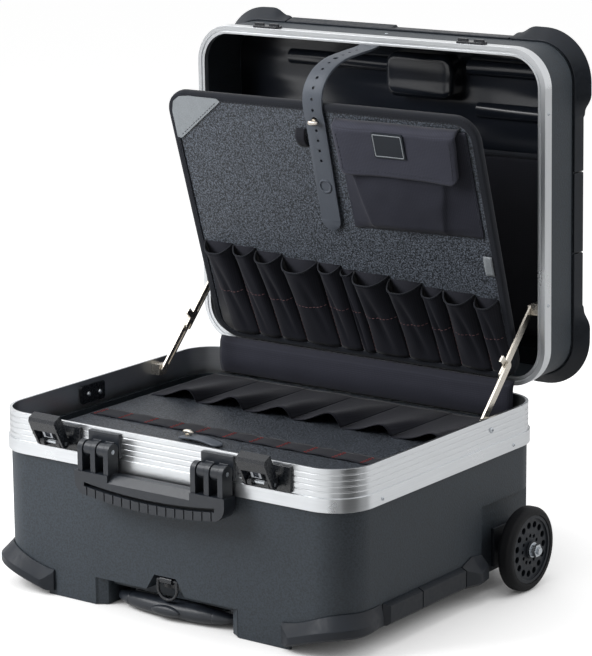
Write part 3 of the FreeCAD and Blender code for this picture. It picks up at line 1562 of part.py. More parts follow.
build()
os.makedirs("parts", exist_ok=True)
for name, solids in nodes.items():
    shape = solids[0] if len(solids) == 1 else Part.makeCompound(solids)
    shape.exportStep("parts/" + name + ".step")
print(len(nodes), "nodes written")
pivot_y, pivot_z = panel_pivot()
print("lid hinge y %.2f z %.2f, panel pivot y %.2f z %.2f" % (hinge_y, hinge_z, pivot_y, pivot_z))
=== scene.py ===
import json
import random
from math import cos, exp, hypot, pi, radians, sin, sqrt

import bmesh
import bpy
from mathutils import Matrix, Vector, noise


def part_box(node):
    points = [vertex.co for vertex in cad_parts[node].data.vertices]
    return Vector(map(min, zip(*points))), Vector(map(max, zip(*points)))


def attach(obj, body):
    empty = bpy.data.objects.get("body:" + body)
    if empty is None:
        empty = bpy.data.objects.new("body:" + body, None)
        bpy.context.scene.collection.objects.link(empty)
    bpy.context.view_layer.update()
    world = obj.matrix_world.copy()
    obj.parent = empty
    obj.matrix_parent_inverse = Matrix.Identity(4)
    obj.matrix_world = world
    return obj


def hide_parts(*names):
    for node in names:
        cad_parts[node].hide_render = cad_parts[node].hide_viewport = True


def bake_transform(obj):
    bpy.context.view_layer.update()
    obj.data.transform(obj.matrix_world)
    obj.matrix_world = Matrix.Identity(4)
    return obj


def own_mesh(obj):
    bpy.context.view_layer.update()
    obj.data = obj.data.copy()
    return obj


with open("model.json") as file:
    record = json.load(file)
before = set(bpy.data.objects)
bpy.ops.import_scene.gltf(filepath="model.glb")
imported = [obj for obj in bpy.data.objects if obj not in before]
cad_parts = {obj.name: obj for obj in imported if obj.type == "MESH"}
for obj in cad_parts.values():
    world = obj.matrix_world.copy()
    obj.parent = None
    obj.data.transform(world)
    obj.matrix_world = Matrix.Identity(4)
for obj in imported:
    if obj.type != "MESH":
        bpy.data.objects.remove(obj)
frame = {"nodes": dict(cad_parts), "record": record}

bl_info = {
    "name": "Rolling tool case",
    "version": (1, 0, 0),
    "blender": (4, 5, 0),
    "location": "View3D > Sidebar > Tool case",
    "description": "Dresses the packed tool case with its finishes, cloth pockets, strap and stitching",
    "category": "Object",
}

MM = 0.001
RIGHT = Vector((1, 0, 0))
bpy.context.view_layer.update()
JOINTS = {joint["name"]: joint for joint in frame["record"]["behaviour"]["joints"]}

# Sizes of the case that the cloth pieces are fitted to, in millimetres
PANEL_FOOT_Y = 180.0
PANEL_FACE_Z = 197.5
PANEL_HALF = 211.5
PANEL_LENGTH = 321.0
PANEL_CORNER = 28.0
PALLET_TOP = 171.0
LID_BACK_Z = 276.0
PLATE_X = 104.0
PLATE_UP = 287.0
PLATE_TOP = 17.2
GRIP_HALF = 79.0
GRIP_REAR_Y = -163.0
GRIP_Z = 10.4
POCKET_WIDTHS = [41.0, 33.0, 38.0, 50.0, 32.0, 18.0, 48.0, 44.0, 28.0, 42.0, 30.0]
POCKET_ROW = sum(POCKET_WIDTHS)

# Lean of the tool panel out of the open lid, in degrees
PANEL_TILT = 16.6

# Width of one band of a wave texture whose scale is 1
WAVE_BAND = 0.314


def linear(colour):
    """Linear colour of an sRGB hex value."""
    values = [int(colour[i:i + 2], 16) / 255.0 for i in (0, 2, 4)]
    return (*[v / 12.92 if v <= 0.04045 else ((v + 0.055) / 1.055) ** 2.4 for v in values], 1.0)


def turn_about(joint, degrees):
    """Turn about a joint's axis line along X, in millimetres."""
    place = Vector(JOINTS[joint]["pos_m"]) / MM
    turn = Matrix.Rotation(radians(degrees), 4, "X")
    return Matrix.Translation(place) @ turn @ Matrix.Translation(-place)


LID_TURN = turn_about("lid_hinge", -JOINTS["lid_hinge"]["range_deg"][1])
PANEL_TURN = turn_about("panel_fold", PANEL_TILT) @ LID_TURN


def in_lid(x, y, z):
    """Point that is given on the closed lid, at its place in the open one."""
    return LID_TURN @ Vector((x, y, z))


def on_panel(x, up, out):
    """Point on the tool panel: across, up from its foot, and out of its face."""
    return PANEL_TURN @ Vector((x, PANEL_FOOT_Y - up, PANEL_FACE_Z - out))


PANEL_OUT = (on_panel(0, 0, 1) - on_panel(0, 0, 0)).normalized()


def colour_setting(label, meaning, colour):
    """Colour that a user can change, with its default as an sRGB hex value."""
    return bpy.props.FloatVectorProperty(name=label, description=meaning, subtype="COLOR", size=4, min=0.0,
                                         max=1.0, default=linear(colour))


def length_setting(label, meaning, millimetres):
    """Length that a user can change, with its default in millimetres."""
    return bpy.props.FloatProperty(name=label, description=meaning, unit="LENGTH", default=millimetres * MM)


class ToolCaseColours(bpy.types.PropertyGroup):
    """Colours of the case's finishes."""
    shell: colour_setting("Shell", "Grained moulded shell of the base and the lid", "2f353b")
    bumper: colour_setting("Bumpers", "Satin moulded bumpers and strips", "1b1f25")
    handle: colour_setting("Handles", "Carry handle, its brackets and the trolley grip", "1d2127")
    frame_metal: colour_setting("Frames", "Extruded aluminium frames", "dcdfe2")
    enamel: colour_setting("Latches", "Black enamel of the latches and the tow ring", "15181d")
    nickel: colour_setting("Stays", "Warm nickel plate of the stays and studs", "cbc5bb")
    rubber: colour_setting("Tyres", "Solid rubber of the tyres", "08090c")
    board: colour_setting("Boards", "Speckled board of both tool panels", "33373d")
    cloth: colour_setting("Cloth", "Black woven polyester of the pockets", "191a20")
    strap: colour_setting("Strap", "Grey rubber of the retaining strap", "484d55")
    lining: colour_setting("Lining", "Glossy sheet in the lid", "14171d")
    red_thread: colour_setting("Red thread", "Stitches across the tool loops", "962a26")
    patch: colour_setting("Patch", "Bare corner patch of the tool panel", "7d8286")


class ToolCaseSizes(bpy.types.PropertyGroup):
    """Sizes of the soft pieces and the stitching."""
    cloth_thickness: length_setting("Cloth", "Thickness of the pocket cloth", 0.9)
    pocket_bulge: length_setting("Pocket bulge", "How far the open pockets stand off the panel", 19.0)
    rim_dip: length_setting("Rim dip", "How far a pocket's rim hangs down in its middle", 7.0)
    billow_height: length_setting("Billow", "Height of the cloth pockets on the base tool panel", 16.0)
    stitch_length: length_setting("Stitch", "Length of one stitch", 3.2)
    stitch_gap: length_setting("Stitch gap", "Gap between two stitches", 1.8)
    thread: length_setting("Thread", "Thickness of the thread", 0.7)
    hole_pitch: length_setting("Strap holes", "Pitch of the holes along the strap", 12.5)
    hole_diameter: length_setting("Strap hole", "Diameter of a hole in the strap", 3.6)


def size(name):
    """Size that is set now, in millimetres."""
    return getattr(bpy.context.scene.tool_case_sizes, name) / MM


def colour_of(value):
    """Linear colour of a setting's name, or of an sRGB hex value after a hash sign."""
    if value.startswith("#"):
        return linear(value[1:])
    return tuple(getattr(bpy.context.scene.tool_case_colours, value))


def tinted(colour, share):
    """Colour made lighter or darker by a share."""
    return [min(1.0, value * share) for value in colour[:3]] + [1.0]


def set_inputs(tree, node, inputs):
    """Sets a node's inputs, each to a value, to an output or to another node's first output."""
    for key, value in inputs.items():
        if isinstance(value, bpy.types.Node):
            value = value.outputs[0]
        if isinstance(value, bpy.types.NodeSocket):
            tree.links.new(value, node.inputs[key])
        else:
            node.inputs[key].default_value = value


def add_node(tree, kind, inputs=None, **settings):
    """Adds a node with its settings and inputs."""
    node = tree.nodes.new(kind)
    for name, value in settings.items():
        setattr(node, name, value)
    set_inputs(tree, node, inputs or {})
    return node


def start_finish(name):
    """New material with its node tree and the piece's own coordinates in millimetres."""
    material = bpy.data.materials.new(name)
    material.use_nodes = True
    tree = material.node_tree
    inputs = {0: add_node(tree, "ShaderNodeTexCoord").outputs["Object"], "Scale": 1.0 / MM}
    return material, tree, add_node(tree, "ShaderNodeVectorMath", inputs, operation="SCALE")


def end_finish(material, inputs):
    """Sets the material's shader."""
    set_inputs(material.node_tree, material.node_tree.nodes["Principled BSDF"], inputs)
    return material


def grained_finish(name, colour, lighter, cloud, rough, grain, depth, metallic=0.0, specular=0.5,
                   mottle=0.08):
    """Colour that drifts in clouds, with a fine grain that breaks up the gloss; sizes in millimetres."""
    material, tree, place = start_finish(name)
    colour = colour_of(colour)
    rough_drift = 0.07
    grains = add_node(tree, "ShaderNodeTexNoise", {"Vector": place, "Scale": 1.0 / grain, "Detail": 3.0})
    clouds = add_node(tree, "ShaderNodeTexNoise", {"Vector": place, "Scale": 1.0 / cloud, "Detail": 4.0})
    tint = {"Fac": clouds, "Color1": colour, "Color2": tinted(colour, lighter)}
    spread = {"Value": grains, "From Min": 0.35, "From Max": 0.65}
    shade = {**spread, "To Min": 1.0 - mottle, "To Max": 1.0 + mottle}
    gloss = {**spread, "To Min": rough - rough_drift, "To Max": rough + rough_drift}
    mottled = {
        0: add_node(tree, "ShaderNodeMixRGB", tint),
        "Scale": add_node(tree, "ShaderNodeMapRange", shade),
    }
    relief = {"Height": grains, "Strength": 0.6, "Distance": depth * MM}
    return end_finish(material, {
        "Base Color": add_node(tree, "ShaderNodeVectorMath", mottled, operation="SCALE"),
        "Roughness": add_node(tree, "ShaderNodeMapRange", gloss),
        "Normal": add_node(tree, "ShaderNodeBump", relief),
        "Metallic": metallic,
        "Specular IOR Level": specular,
    })


def wavy_finish(name):
    """Glossy sheet with long shallow waves, drawn out across the lid; sizes in millimetres."""
    material, tree, place = start_finish(name)
    width = 45.0
    stretch = (0.12, 1.0, 1.0)
    depth = 22.0
    drawn = add_node(tree, "ShaderNodeVectorMath", {0: place, 1: stretch}, operation="MULTIPLY")
    waves = add_node(tree, "ShaderNodeTexNoise", {"Vector": drawn, "Scale": 1.0 / width, "Detail": 1.0})
    relief = {"Height": waves, "Strength": 1.0, "Distance": depth * MM}
    return end_finish(material, {
        "Base Color": colour_of("lining"),
        "Roughness": 0.22,
        "Normal": add_node(tree, "ShaderNodeBump", relief),
        "Specular IOR Level": 0.65,
    })


def extruded_finish(name, stretch, metallic):
    """Metal with draw lines along its profile; lines of about 0.3 mm are drawn at 1.5 mm to show."""
    material, tree, place = start_finish(name)
    colour = colour_of("frame_metal")
    line = 1.5
    haze = 45.0
    depth = 0.03
    drawn = add_node(tree, "ShaderNodeVectorMath", {0: place, 1: stretch}, operation="MULTIPLY")
    lines = add_node(tree, "ShaderNodeTexNoise", {"Vector": drawn, "Scale": 1.0 / line, "Detail": 3.0})
    hazes = add_node(tree, "ShaderNodeTexNoise", {"Vector": place, "Scale": 1.0 / haze, "Detail": 3.0})
    tint = {"Fac": lines, "Color1": tinted(colour, 0.86), "Color2": colour}
    gloss = {"Value": hazes, "From Min": 0.3, "From Max": 0.7, "To Min": 0.27, "To Max": 0.32}
    relief = {"Height": lines, "Strength": 0.1, "Distance": depth * MM}
    return end_finish(material, {
        "Base Color": add_node(tree, "ShaderNodeMixRGB", tint),
        "Roughness": add_node(tree, "ShaderNodeMapRange", gloss),
        "Normal": add_node(tree, "ShaderNodeBump", relief),
        "Metallic": metallic,
    })


def pebbled_finish(name, shade):
    """Embossed board at a share of its colour, where a lower share is painted shade; specks on its pebbles;
    sizes in millimetres.
    """
    material, tree, place = start_finish(name)
    colour = tinted(colour_of("board"), shade)
    pebble = 1.6
    speck = 1.9
    depth = 0.8
    inputs = {"Vector": place, "Scale": 1.0 / pebble}
    pebbles = add_node(tree, "ShaderNodeTexVoronoi", inputs, feature="SMOOTH_F1")
    specks = add_node(tree, "ShaderNodeTexNoise", {"Vector": place, "Scale": 1.0 / speck, "Detail": 3.0})
    height = add_node(tree, "ShaderNodeMath", {0: specks, 1: pebbles}, operation="SUBTRACT")
    share = add_node(tree, "ShaderNodeMapRange", {"Value": height, "From Min": -0.08, "From Max": 0.38})
    # Pebble tops are lighter and the gaps between them darker: partly speckle, partly painted glint and
    # painted shade
    tint = {"Fac": share, "Color1": tinted(colour, 0.5), "Color2": tinted(colour, 3.7)}
    relief = {"Height": height, "Strength": 0.9, "Distance": depth * MM}
    return end_finish(material, {
        "Base Color": add_node(tree, "ShaderNodeMixRGB", tint),
        "Normal": add_node(tree, "ShaderNodeBump", relief),
        "Roughness": 0.48,
        "Specular IOR Level": 0.4,
    })


def woven_finish(name, colour, spacing, sheen):
    """Cloth with threads at a spacing in millimetres; threads of about 0.5 mm are drawn coarser to show."""
    material, tree, place = start_finish(name)
    colour = colour_of(colour)
    cloud = 26.0
    depth = 0.2
    parts = add_node(tree, "ShaderNodeSeparateXYZ", {"Vector": place}).outputs
    rise = add_node(tree, "ShaderNodeMath", {0: parts["Z"], 1: parts["Y"]}, operation="SUBTRACT")
    lay = add_node(tree, "ShaderNodeCombineXYZ", {"X": parts["X"], "Y": rise})
    wave = {"Vector": lay, "Scale": WAVE_BAND / spacing, "Distortion": 0.6, "Detail": 1.0}
    warp = add_node(tree, "ShaderNodeTexWave", wave, bands_direction="X").outputs["Fac"]
    weft = add_node(tree, "ShaderNodeTexWave", wave, bands_direction="Y").outputs["Fac"]
    weave = add_node(tree, "ShaderNodeMath", {0: warp, 1: weft}, operation="MULTIPLY")
    clouds = add_node(tree, "ShaderNodeTexNoise", {"Vector": place, "Scale": 1.0 / cloud, "Detail": 4.0})
    share = add_node(tree, "ShaderNodeMath", {0: weave, 1: clouds}, operation="MULTIPLY")
    tint = {"Fac": share, "Color1": colour, "Color2": tinted(colour, 2.2)}
    relief = {"Height": weave, "Strength": 0.45, "Distance": depth * MM}
    return end_finish(material, {
        "Base Color": add_node(tree, "ShaderNodeMixRGB", tint),
        "Normal": add_node(tree, "ShaderNodeBump", relief),
        "Roughness": 0.8,
        "Specular IOR Level": 0.25,
        "Sheen Weight": sheen,
        "Sheen Roughness": 0.4,
    })


def paper_finish(name):
    """Paper that looks lit to the camera and to mirrors; that glow is dimmed near the case as painted shade,
    and the paper also takes the case's real shadow.
    """
    material, tree = start_finish(name)[:2]
    lit = 0.92
    mirrored = 0.42
    rays = add_node(tree, "ShaderNodeLightPath").outputs
    bounces = {0: rays["Is Glossy Ray"], 1: rays["Is Transmission Ray"]}
    bounced = add_node(tree, "ShaderNodeMath", bounces, operation="MAXIMUM")
    levels = {
        0: add_node(tree, "ShaderNodeMath", {0: rays["Is Camera Ray"], 1: lit}, operation="MULTIPLY"),
        1: add_node(tree, "ShaderNodeMath", {0: bounced, 1: mirrored}, operation="MULTIPLY"),
    }
    level = add_node(tree, "ShaderNodeMath", levels, operation="MAXIMUM")
    # Ambient occlusion dims the glow under and beside the case: painted contact shade
    occlusion_shade = add_node(tree, "ShaderNodeAmbientOcclusion", {"Distance": 0.25}, samples=6).outputs["AO"]
    return end_finish(material, {
        "Base Color": linear("c8c8c8"),
        "Roughness": 0.9,
        "Specular IOR Level": 0.0,
        "Emission Color": (1.0, 1.0, 1.0, 1.0),
        "Emission Strength": add_node(tree, "ShaderNodeMath", {0: level, 1: occlusion_shade}, operation="MULTIPLY"),
    })


def felt_finish(name):
    """Plain dull black."""
    return end_finish(start_finish(name)[0], {"Base Color": linear("0a0a0a"), "Roughness": 0.95})


FINISHES = {
    # Moulded ABS: dull grey-black, with a soft glint on each grain; 0.8 mm grain is drawn at 2 mm to show
    "grained_abs": (grained_finish, dict(colour="shell", lighter=1.25, cloud=60.0, rough=0.55, grain=2.0,
                                         depth=0.45, specular=0.4, mottle=0.3)),
    # Polypropylene from a polished tool, on bumpers, strips and hubs: smooth and satin
    "satin_polypropylene": (grained_finish, dict(colour="bumper", lighter=1.25, cloud=35.0, rough=0.46,
                                                 grain=5.0, depth=0.06, specular=0.3)),
    # Glass filled nylon of the handles: hard, with soft highlights on its edges
    "filled_nylon": (grained_finish, dict(colour="handle", lighter=1.3, cloud=20.0, rough=0.36, grain=1.4,
                                          depth=0.02)),
    # Stoved black enamel on pressed steel: smooth, with clear highlights
    "black_enamel": (grained_finish, dict(colour="enamel", lighter=1.4, cloud=8.0, rough=0.28, grain=3.0,
                                          depth=0.04, specular=0.6)),
    # Chrome plate of the latch claws: a mirror that is a little softened by fine wear, its grey darkened as
    # painted shade for the dark hood and handle that it mirrors
    "chrome_plate": (grained_finish, dict(colour="#8f9297", lighter=1.2, cloud=4.0, rough=0.14, grain=1.5,
                                          depth=0.02, metallic=1.0)),
    # Zinc plated steel of bolts, pins and screws: a dull grey mirror with a cloudy passivation
    "zinc_plate": (grained_finish, dict(colour="#b9bec3", lighter=1.15, cloud=3.0, rough=0.3, grain=1.2,
                                        depth=0.03, metallic=1.0)),
    # Pressed steel of the stays and studs under a warm nickel plate: soft golden grey
    "warm_nickel": (grained_finish, dict(colour="nickel", lighter=1.1, cloud=6.0, rough=0.3, grain=1.2,
                                         depth=0.03, metallic=1.0)),
    # Drawn aluminium tube of the trolley: grey and satin
    "drawn_aluminium": (grained_finish, dict(colour="#b4b7ba", lighter=1.1, cloud=12.0, rough=0.35, grain=1.0,
                                        depth=0.02, metallic=1.0)),
    # Solid moulded rubber of the tyres, with a little bloom: nearly black and dull
    "moulded_rubber": (grained_finish, dict(colour="rubber", lighter=1.5, cloud=14.0, rough=0.62, grain=1.6,
                                         depth=0.1, specular=0.25)),
    # Extruded PVC of the straps: mid grey and smooth, with a faint sheen
    "extruded_pvc": (grained_finish, dict(colour="strap", lighter=1.12, cloud=18.0, rough=0.5, grain=0.9,
                                          depth=0.03, specular=0.4)),
    # Coated cloth of the bare patch, the tag and the plate's border: cool grey with a slight shine
    "coated_cloth": (grained_finish, dict(colour="patch", lighter=1.25, cloud=9.0, rough=0.4, grain=1.2,
                                        depth=0.05)),
    # Thermoformed polystyrene lining: a black gloss that shows long soft reflections
    "thermoformed_polystyrene": (wavy_finish, {}),
    # Anodised aluminium: satin metal with fine lines, on the lid under a milkier oxide skin
    "anodised_aluminium": (extruded_finish, dict(stretch=(0.02, 0.02, 1.0), metallic=1.0)),
    "milky_anodised_aluminium": (extruded_finish, dict(stretch=(0.02, 1.0, 0.02), metallic=0.82)),
    # Embossed polyethylene boards: dark grey pebbles, lighter on top and darker between, as speckle with
    # painted glint and shade
    "embossed_polyethylene": (pebbled_finish, dict(shade=1.0)),
    # The base tool panel's copy is darkened as painted shade
    "embossed_dark_polyethylene": (pebbled_finish, dict(shade=0.6)),
    # Dense woven polyester of the pockets: black and dull, with a fine square weave
    "woven_polyester": (woven_finish, dict(colour="cloth", spacing=2.0, sheen=0.06)),
    # Backed polyester of the large pocket and the hinge cover: heavier and a shade lighter
    "backed_polyester": (woven_finish, dict(colour="#282931", spacing=2.0, sheen=0.08)),
    # Coated polyester of the flap: lighter still, as painted light where the flap faces up and out, with a
    # soft sheen where it bends
    "coated_polyester": (woven_finish, dict(colour="#34353e", spacing=2.0, sheen=0.12)),
    # Ribbed binding tape: black, with a coarse weave
    "ribbed_polyester_tape": (woven_finish, dict(colour="#1d1f24", spacing=2.6, sheen=0.1)),
    # Woven elastic of the tool loops: black and flat
    "woven_elastic": (woven_finish, dict(colour="#1a1b20", spacing=1.8, sheen=0.05)),
    # Sewing threads: black, a faint russet and a clear red
    "dark_thread": (woven_finish, dict(colour="#34373e", spacing=0.8, sheen=0.1)),
    "faded_thread": (woven_finish, dict(colour="#5c4446", spacing=0.8, sheen=0.1)),
    "red_thread": (woven_finish, dict(colour="red_thread", spacing=0.8, sheen=0.1)),
    # White paper sweep of the floor, with painted shade near the case, and black felt that only mirrors see
    "white_paper": (paper_finish, {}),
    "black_felt": (felt_finish, {}),
}


def finish(name):
    """Finish of that name, made when it is first asked for."""
    if name in bpy.data.materials:
        return bpy.data.materials[name]
    make, settings = FINISHES[name]
    return make(name, **settings)


def edge_cleaner():
    """Node group that joins a CAD mesh's split corners and shades it smooth up to its real edges."""
    name = "clean_edges"
    if name in bpy.data.node_groups:
        return bpy.data.node_groups[name]
    tree = bpy.data.node_groups.new(name, "GeometryNodeTree")
    for way in ("INPUT", "OUTPUT"):
        tree.interface.new_socket("Geometry", in_out=way, socket_type="NodeSocketGeometry")
    soft_degrees = 32.0
    reach = 0.005
    angle = add_node(tree, "GeometryNodeInputMeshEdgeAngle")
    soft = add_node(tree, "FunctionNodeCompare", {"A": angle, "B": radians(soft_degrees)},
                    data_type="FLOAT", operation="LESS_THAN")
    shape = add_node(tree, "NodeGroupInput")
    shape = add_node(tree, "GeometryNodeMergeByDistance", {"Geometry": shape, "Distance": reach * MM})
    shape = add_node(tree, "GeometryNodeRemoveAttribute", {"Geometry": shape, "Name": "custom_normal"})
    shape = add_node(tree, "GeometryNodeSetShadeSmooth", {"Geometry": shape, "Shade Smooth": True})
    shape = add_node(tree, "GeometryNodeSetShadeSmooth", {"Geometry": shape, "Shade Smooth": soft},
                     domain="EDGE")
    add_node(tree, "NodeGroupOutput", {0: shape})
    return tree


def round_edges(piece, width, segments, degrees):
    """Rounds the edges that are sharper than an angle by a width in millimetres."""
    bevel = piece.modifiers.new("rounded_edges", "BEVEL")
    bevel.width = width * MM
    bevel.segments = segments
    bevel.limit_method = "ANGLE"
    bevel.angle_limit = radians(degrees)
    return bevel


def dress(finish_name, rounding, names, segments=2):
    """Gives CAD nodes a finish and rounds their edges by a size in millimetres."""
    sharp_degrees = 38.0
    for name in names:
        node = frame["nodes"][name]
        for slot in node.material_slots:
            slot.link = "OBJECT"
            slot.material = finish(finish_name)
        node.modifiers.new("clean_edges", "NODES").node_group = edge_cleaner()
        round_edges(node, rounding, segments, sharp_degrees).harden_normals = True


def grid_faces(rows, columns, first=0):
    """Faces of a grid of points, row after row."""
    corners = [first + i * columns + j for i in range(rows - 1) for j in range(columns - 1)]
    return [(a, a + 1, a + columns + 1, a + columns) for a in corners]


def tube_faces(rings, sides, first=0, closed=False, capped=True):
    """Faces of a tube of rings; an open one has a cap at its end, and at its start unless capped is off."""
    faces = []
    for i in range(rings if closed else rings - 1):
        low = first + i * sides
        high = first + (i + 1) % rings * sides
        for j in range(sides):
            k = (j + 1) % sides
            faces.append((low + j, low + k, high + k, high + j))
    if not closed:
        faces.append(tuple(range(first + (rings - 1) * sides, first + rings * sides)))
        if capped:
            faces.append(tuple(reversed(range(first, first + sides))))
    return faces


def turns(count):
    """Angles that share out a full turn."""
    return [2 * pi * k / count for k in range(count)]


def ring(middle, across, up, radii):
    """Points round a middle in the plane of two directions, each at its own radius."""
    return [middle + (across * cos(turn) + up * sin(turn)) * radius
            for turn, radius in zip(turns(len(radii)), radii)]


def circle(x, y, radius, count):
    """Points of a circle in the plane, with outward directions."""
    ways = [(cos(turn), sin(turn)) for turn in turns(count)]
    return [(x + radius * a, y + radius * b, a, b) for a, b in ways]


def rounded_outline(middle, half_x, y0, y1, radius, steps):
    """Points of a rounded rectangle in the plane, with outward directions."""
    outline = []
    inner = half_x - radius
    centres = [(inner, y0 + radius), (inner, y1 - radius), (-inner, y1 - radius), (-inner, y0 + radius)]
    for quarter, (x, y) in enumerate(centres):
        for i in range(steps + 1):
            turn = radians(90.0 * (quarter - 1 + i / steps))
            a = cos(turn)
            b = sin(turn)
            outline.append((middle + x + radius * a, y + radius * b, a, b))
    return outline


def panel_line(outline, out):
    """Line for a tape along an outline on the tool panel, some way out of its face."""
    line = []
    for x, up, side_x, side_up in outline:
        place = on_panel(x, up, out)
        line.append((place, (on_panel(x + side_x, up + side_up, out) - place).normalized(), PANEL_OUT))
    return line


def mix(first, last, share):
    """Value at a share of the way from a first value to a last one."""
    return first + (last - first) * share


def past(value, start, width):
    """How far a value is past a start, in widths; nothing before it."""
    return max(0.0, (value - start) / width)


def hump(offset, width):
    """Smooth hump that is 1 in its middle and dies away past its width."""
    return exp(-(offset / width) ** 2)


def rumple(across, up, seed):
    """Unevenness of soft cloth, from about -1 to 1; a seed gives each piece its own."""
    return noise.noise(Vector((across, up, seed)))


def between(value, knots, levels):
    """Level at a value, straight between knots."""
    i = max(k for k in range(len(knots) - 1) if knots[k] <= value)
    share = (value - knots[i]) / (knots[i + 1] - knots[i])
    return mix(levels[i], levels[i + 1], share)


def resampled(points, step):
    """Points at an even step along a line of points."""
    out = [points[0]]
    left = step
    for start, end in zip(points, points[1:]):
        length = (end - start).length
        done = 0.0
        while length - done >= left:
            done += left
            out.append(start.lerp(end, done / length))
            left = step
        left -= length - done
    return out


def add_object(name, data):
    """Object with its data, in the scene."""
    made = bpy.data.objects.new(name, data)
    bpy.context.scene.collection.objects.link(made)
    return made


def add_mesh(name, points, faces, finish_name):
    """Mesh out of points in metres, in the scene."""
    mesh = bpy.data.meshes.new(name)
    mesh.from_pydata(points, [], faces)
    mesh.materials.append(finish(finish_name))
    return add_object(name, mesh)


def add_piece(name, points, faces, finish_name, body=None, thickness=0.0, stands_for=(), slot=None,
              smooth=True):
    """Piece out of points in millimetres, riding on a body; a thickness gives a sheet its two sides."""
    piece = add_mesh(name, [tuple(value * MM for value in point) for point in points], faces, finish_name)
    piece.data.polygons.foreach_set("use_smooth", [smooth] * len(piece.data.polygons))
    piece.data.update()
    if thickness:
        solid = piece.modifiers.new("thickness", "SOLIDIFY")
        solid.thickness = thickness * MM
        solid.offset = 0.0
    if body:
        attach(piece, body)
    if stands_for:
        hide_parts(*stands_for)
    return piece


def add_sheet(name, surfaces, rows, columns, finish_name, **options):
    """Piece out of surfaces that are each a function of two shares, up and across."""
    points = []
    faces = []
    for surface in surfaces:
        faces += grid_faces(rows, columns, len(points))
        points += [surface(i / (rows - 1), j / (columns - 1)) for i in range(rows) for j in range(columns)]
    return add_piece(name, points, faces, finish_name, **options)


def add_slab(name, low, high, finish_name, **options):
    """Plate with a top and sides between two outlines; its underside lies against another piece."""
    count = len(low)
    faces = [tuple(range(count, 2 * count))]
    faces += [(i, (i + 1) % count, (i + 1) % count + count, i + count) for i in range(count)]
    return add_piece(name, low + high, faces, finish_name, smooth=False, **options)


def add_tape(name, line, section, finish_name, closed=False, **options):
    """Solid that follows a line of (place, side, out) with a section of (side, out) offsets."""
    points = [place + side * across + out * proud for place, side, out in line for across, proud in section]
    faces = tube_faces(len(line), len(section), closed=closed)
    return add_piece(name, points, faces, finish_name, **options)


def add_stitches(name, lines, finish_name, body, slot):
    """Rows of short threads along lines of points."""
    dash = size("stitch_length")
    quarter = (dash + size("stitch_gap")) / 4
    radius = size("thread") / 2
    swells = [(0.0, 0.45), (0.25, 1.0), (0.75, 1.0), (1.0, 0.45)]
    sides = 6
    points = []
    faces = []
    for line in lines:
        fine = resampled(line, quarter)
        for i in range(0, len(fine) - 3, 4):
            along = (fine[i + 2] - fine[i]).normalized()
            across = along.orthogonal().normalized()
            up = along.cross(across)
            faces += tube_faces(len(swells), sides, len(points))
            for share, swell in swells:
                points += ring(fine[i] + along * dash * share, across, up, [radius * swell] * sides)
    return add_piece(name, points, faces, finish_name, body=body, slot=slot)


def add_cords(name, lines, radius, finish_name, body, slot):
    """Round rolled edges along lines of points, as one piece."""
    sides = 8
    points = []
    faces = []
    for line in lines:
        faces += tube_faces(len(line), sides, len(points))
        for i, place in enumerate(line):
            along = (line[min(i + 1, len(line) - 1)] - line[max(i - 1, 0)]).normalized()
            across = along.cross(Vector((0, 0, 1))).normalized()
            points += ring(place, across, across.cross(along), [radius] * sides)
    return add_piece(name, points, faces, finish_name, body=body, slot=slot)


def add_screws(name, places, radius, body):
    """Domed zinc screw heads with a square recess, each at a place with an outward direction."""
    profile = [(1.0, -0.3), (1.0, 0.12), (0.86, 0.34), (0.6, 0.48), (0.36, 0.53)]
    sides = 20
    recess_half = 0.3
    recess_corner = 0.34
    recess_floor = 0.1
    spans = [max(abs(cos(turn)), abs(sin(turn))) for turn in turns(sides)]
    rings = [([radius * reach] * sides, height) for reach, height in profile]
    rings.append(([radius * min(recess_half / span, recess_corner) for span in spans], recess_floor))
    points = []
    faces = []
    for place, out in places:
        across = out.orthogonal().normalized()
        faces += tube_faces(len(rings), sides, len(points), capped=False)
        for radii, height in rings:
            points += ring(place + out * radius * height, across, out.cross(across), radii)
    return add_piece(name, points, faces, "zinc_plate", body=body, slot="zinc_steel", smooth=False)


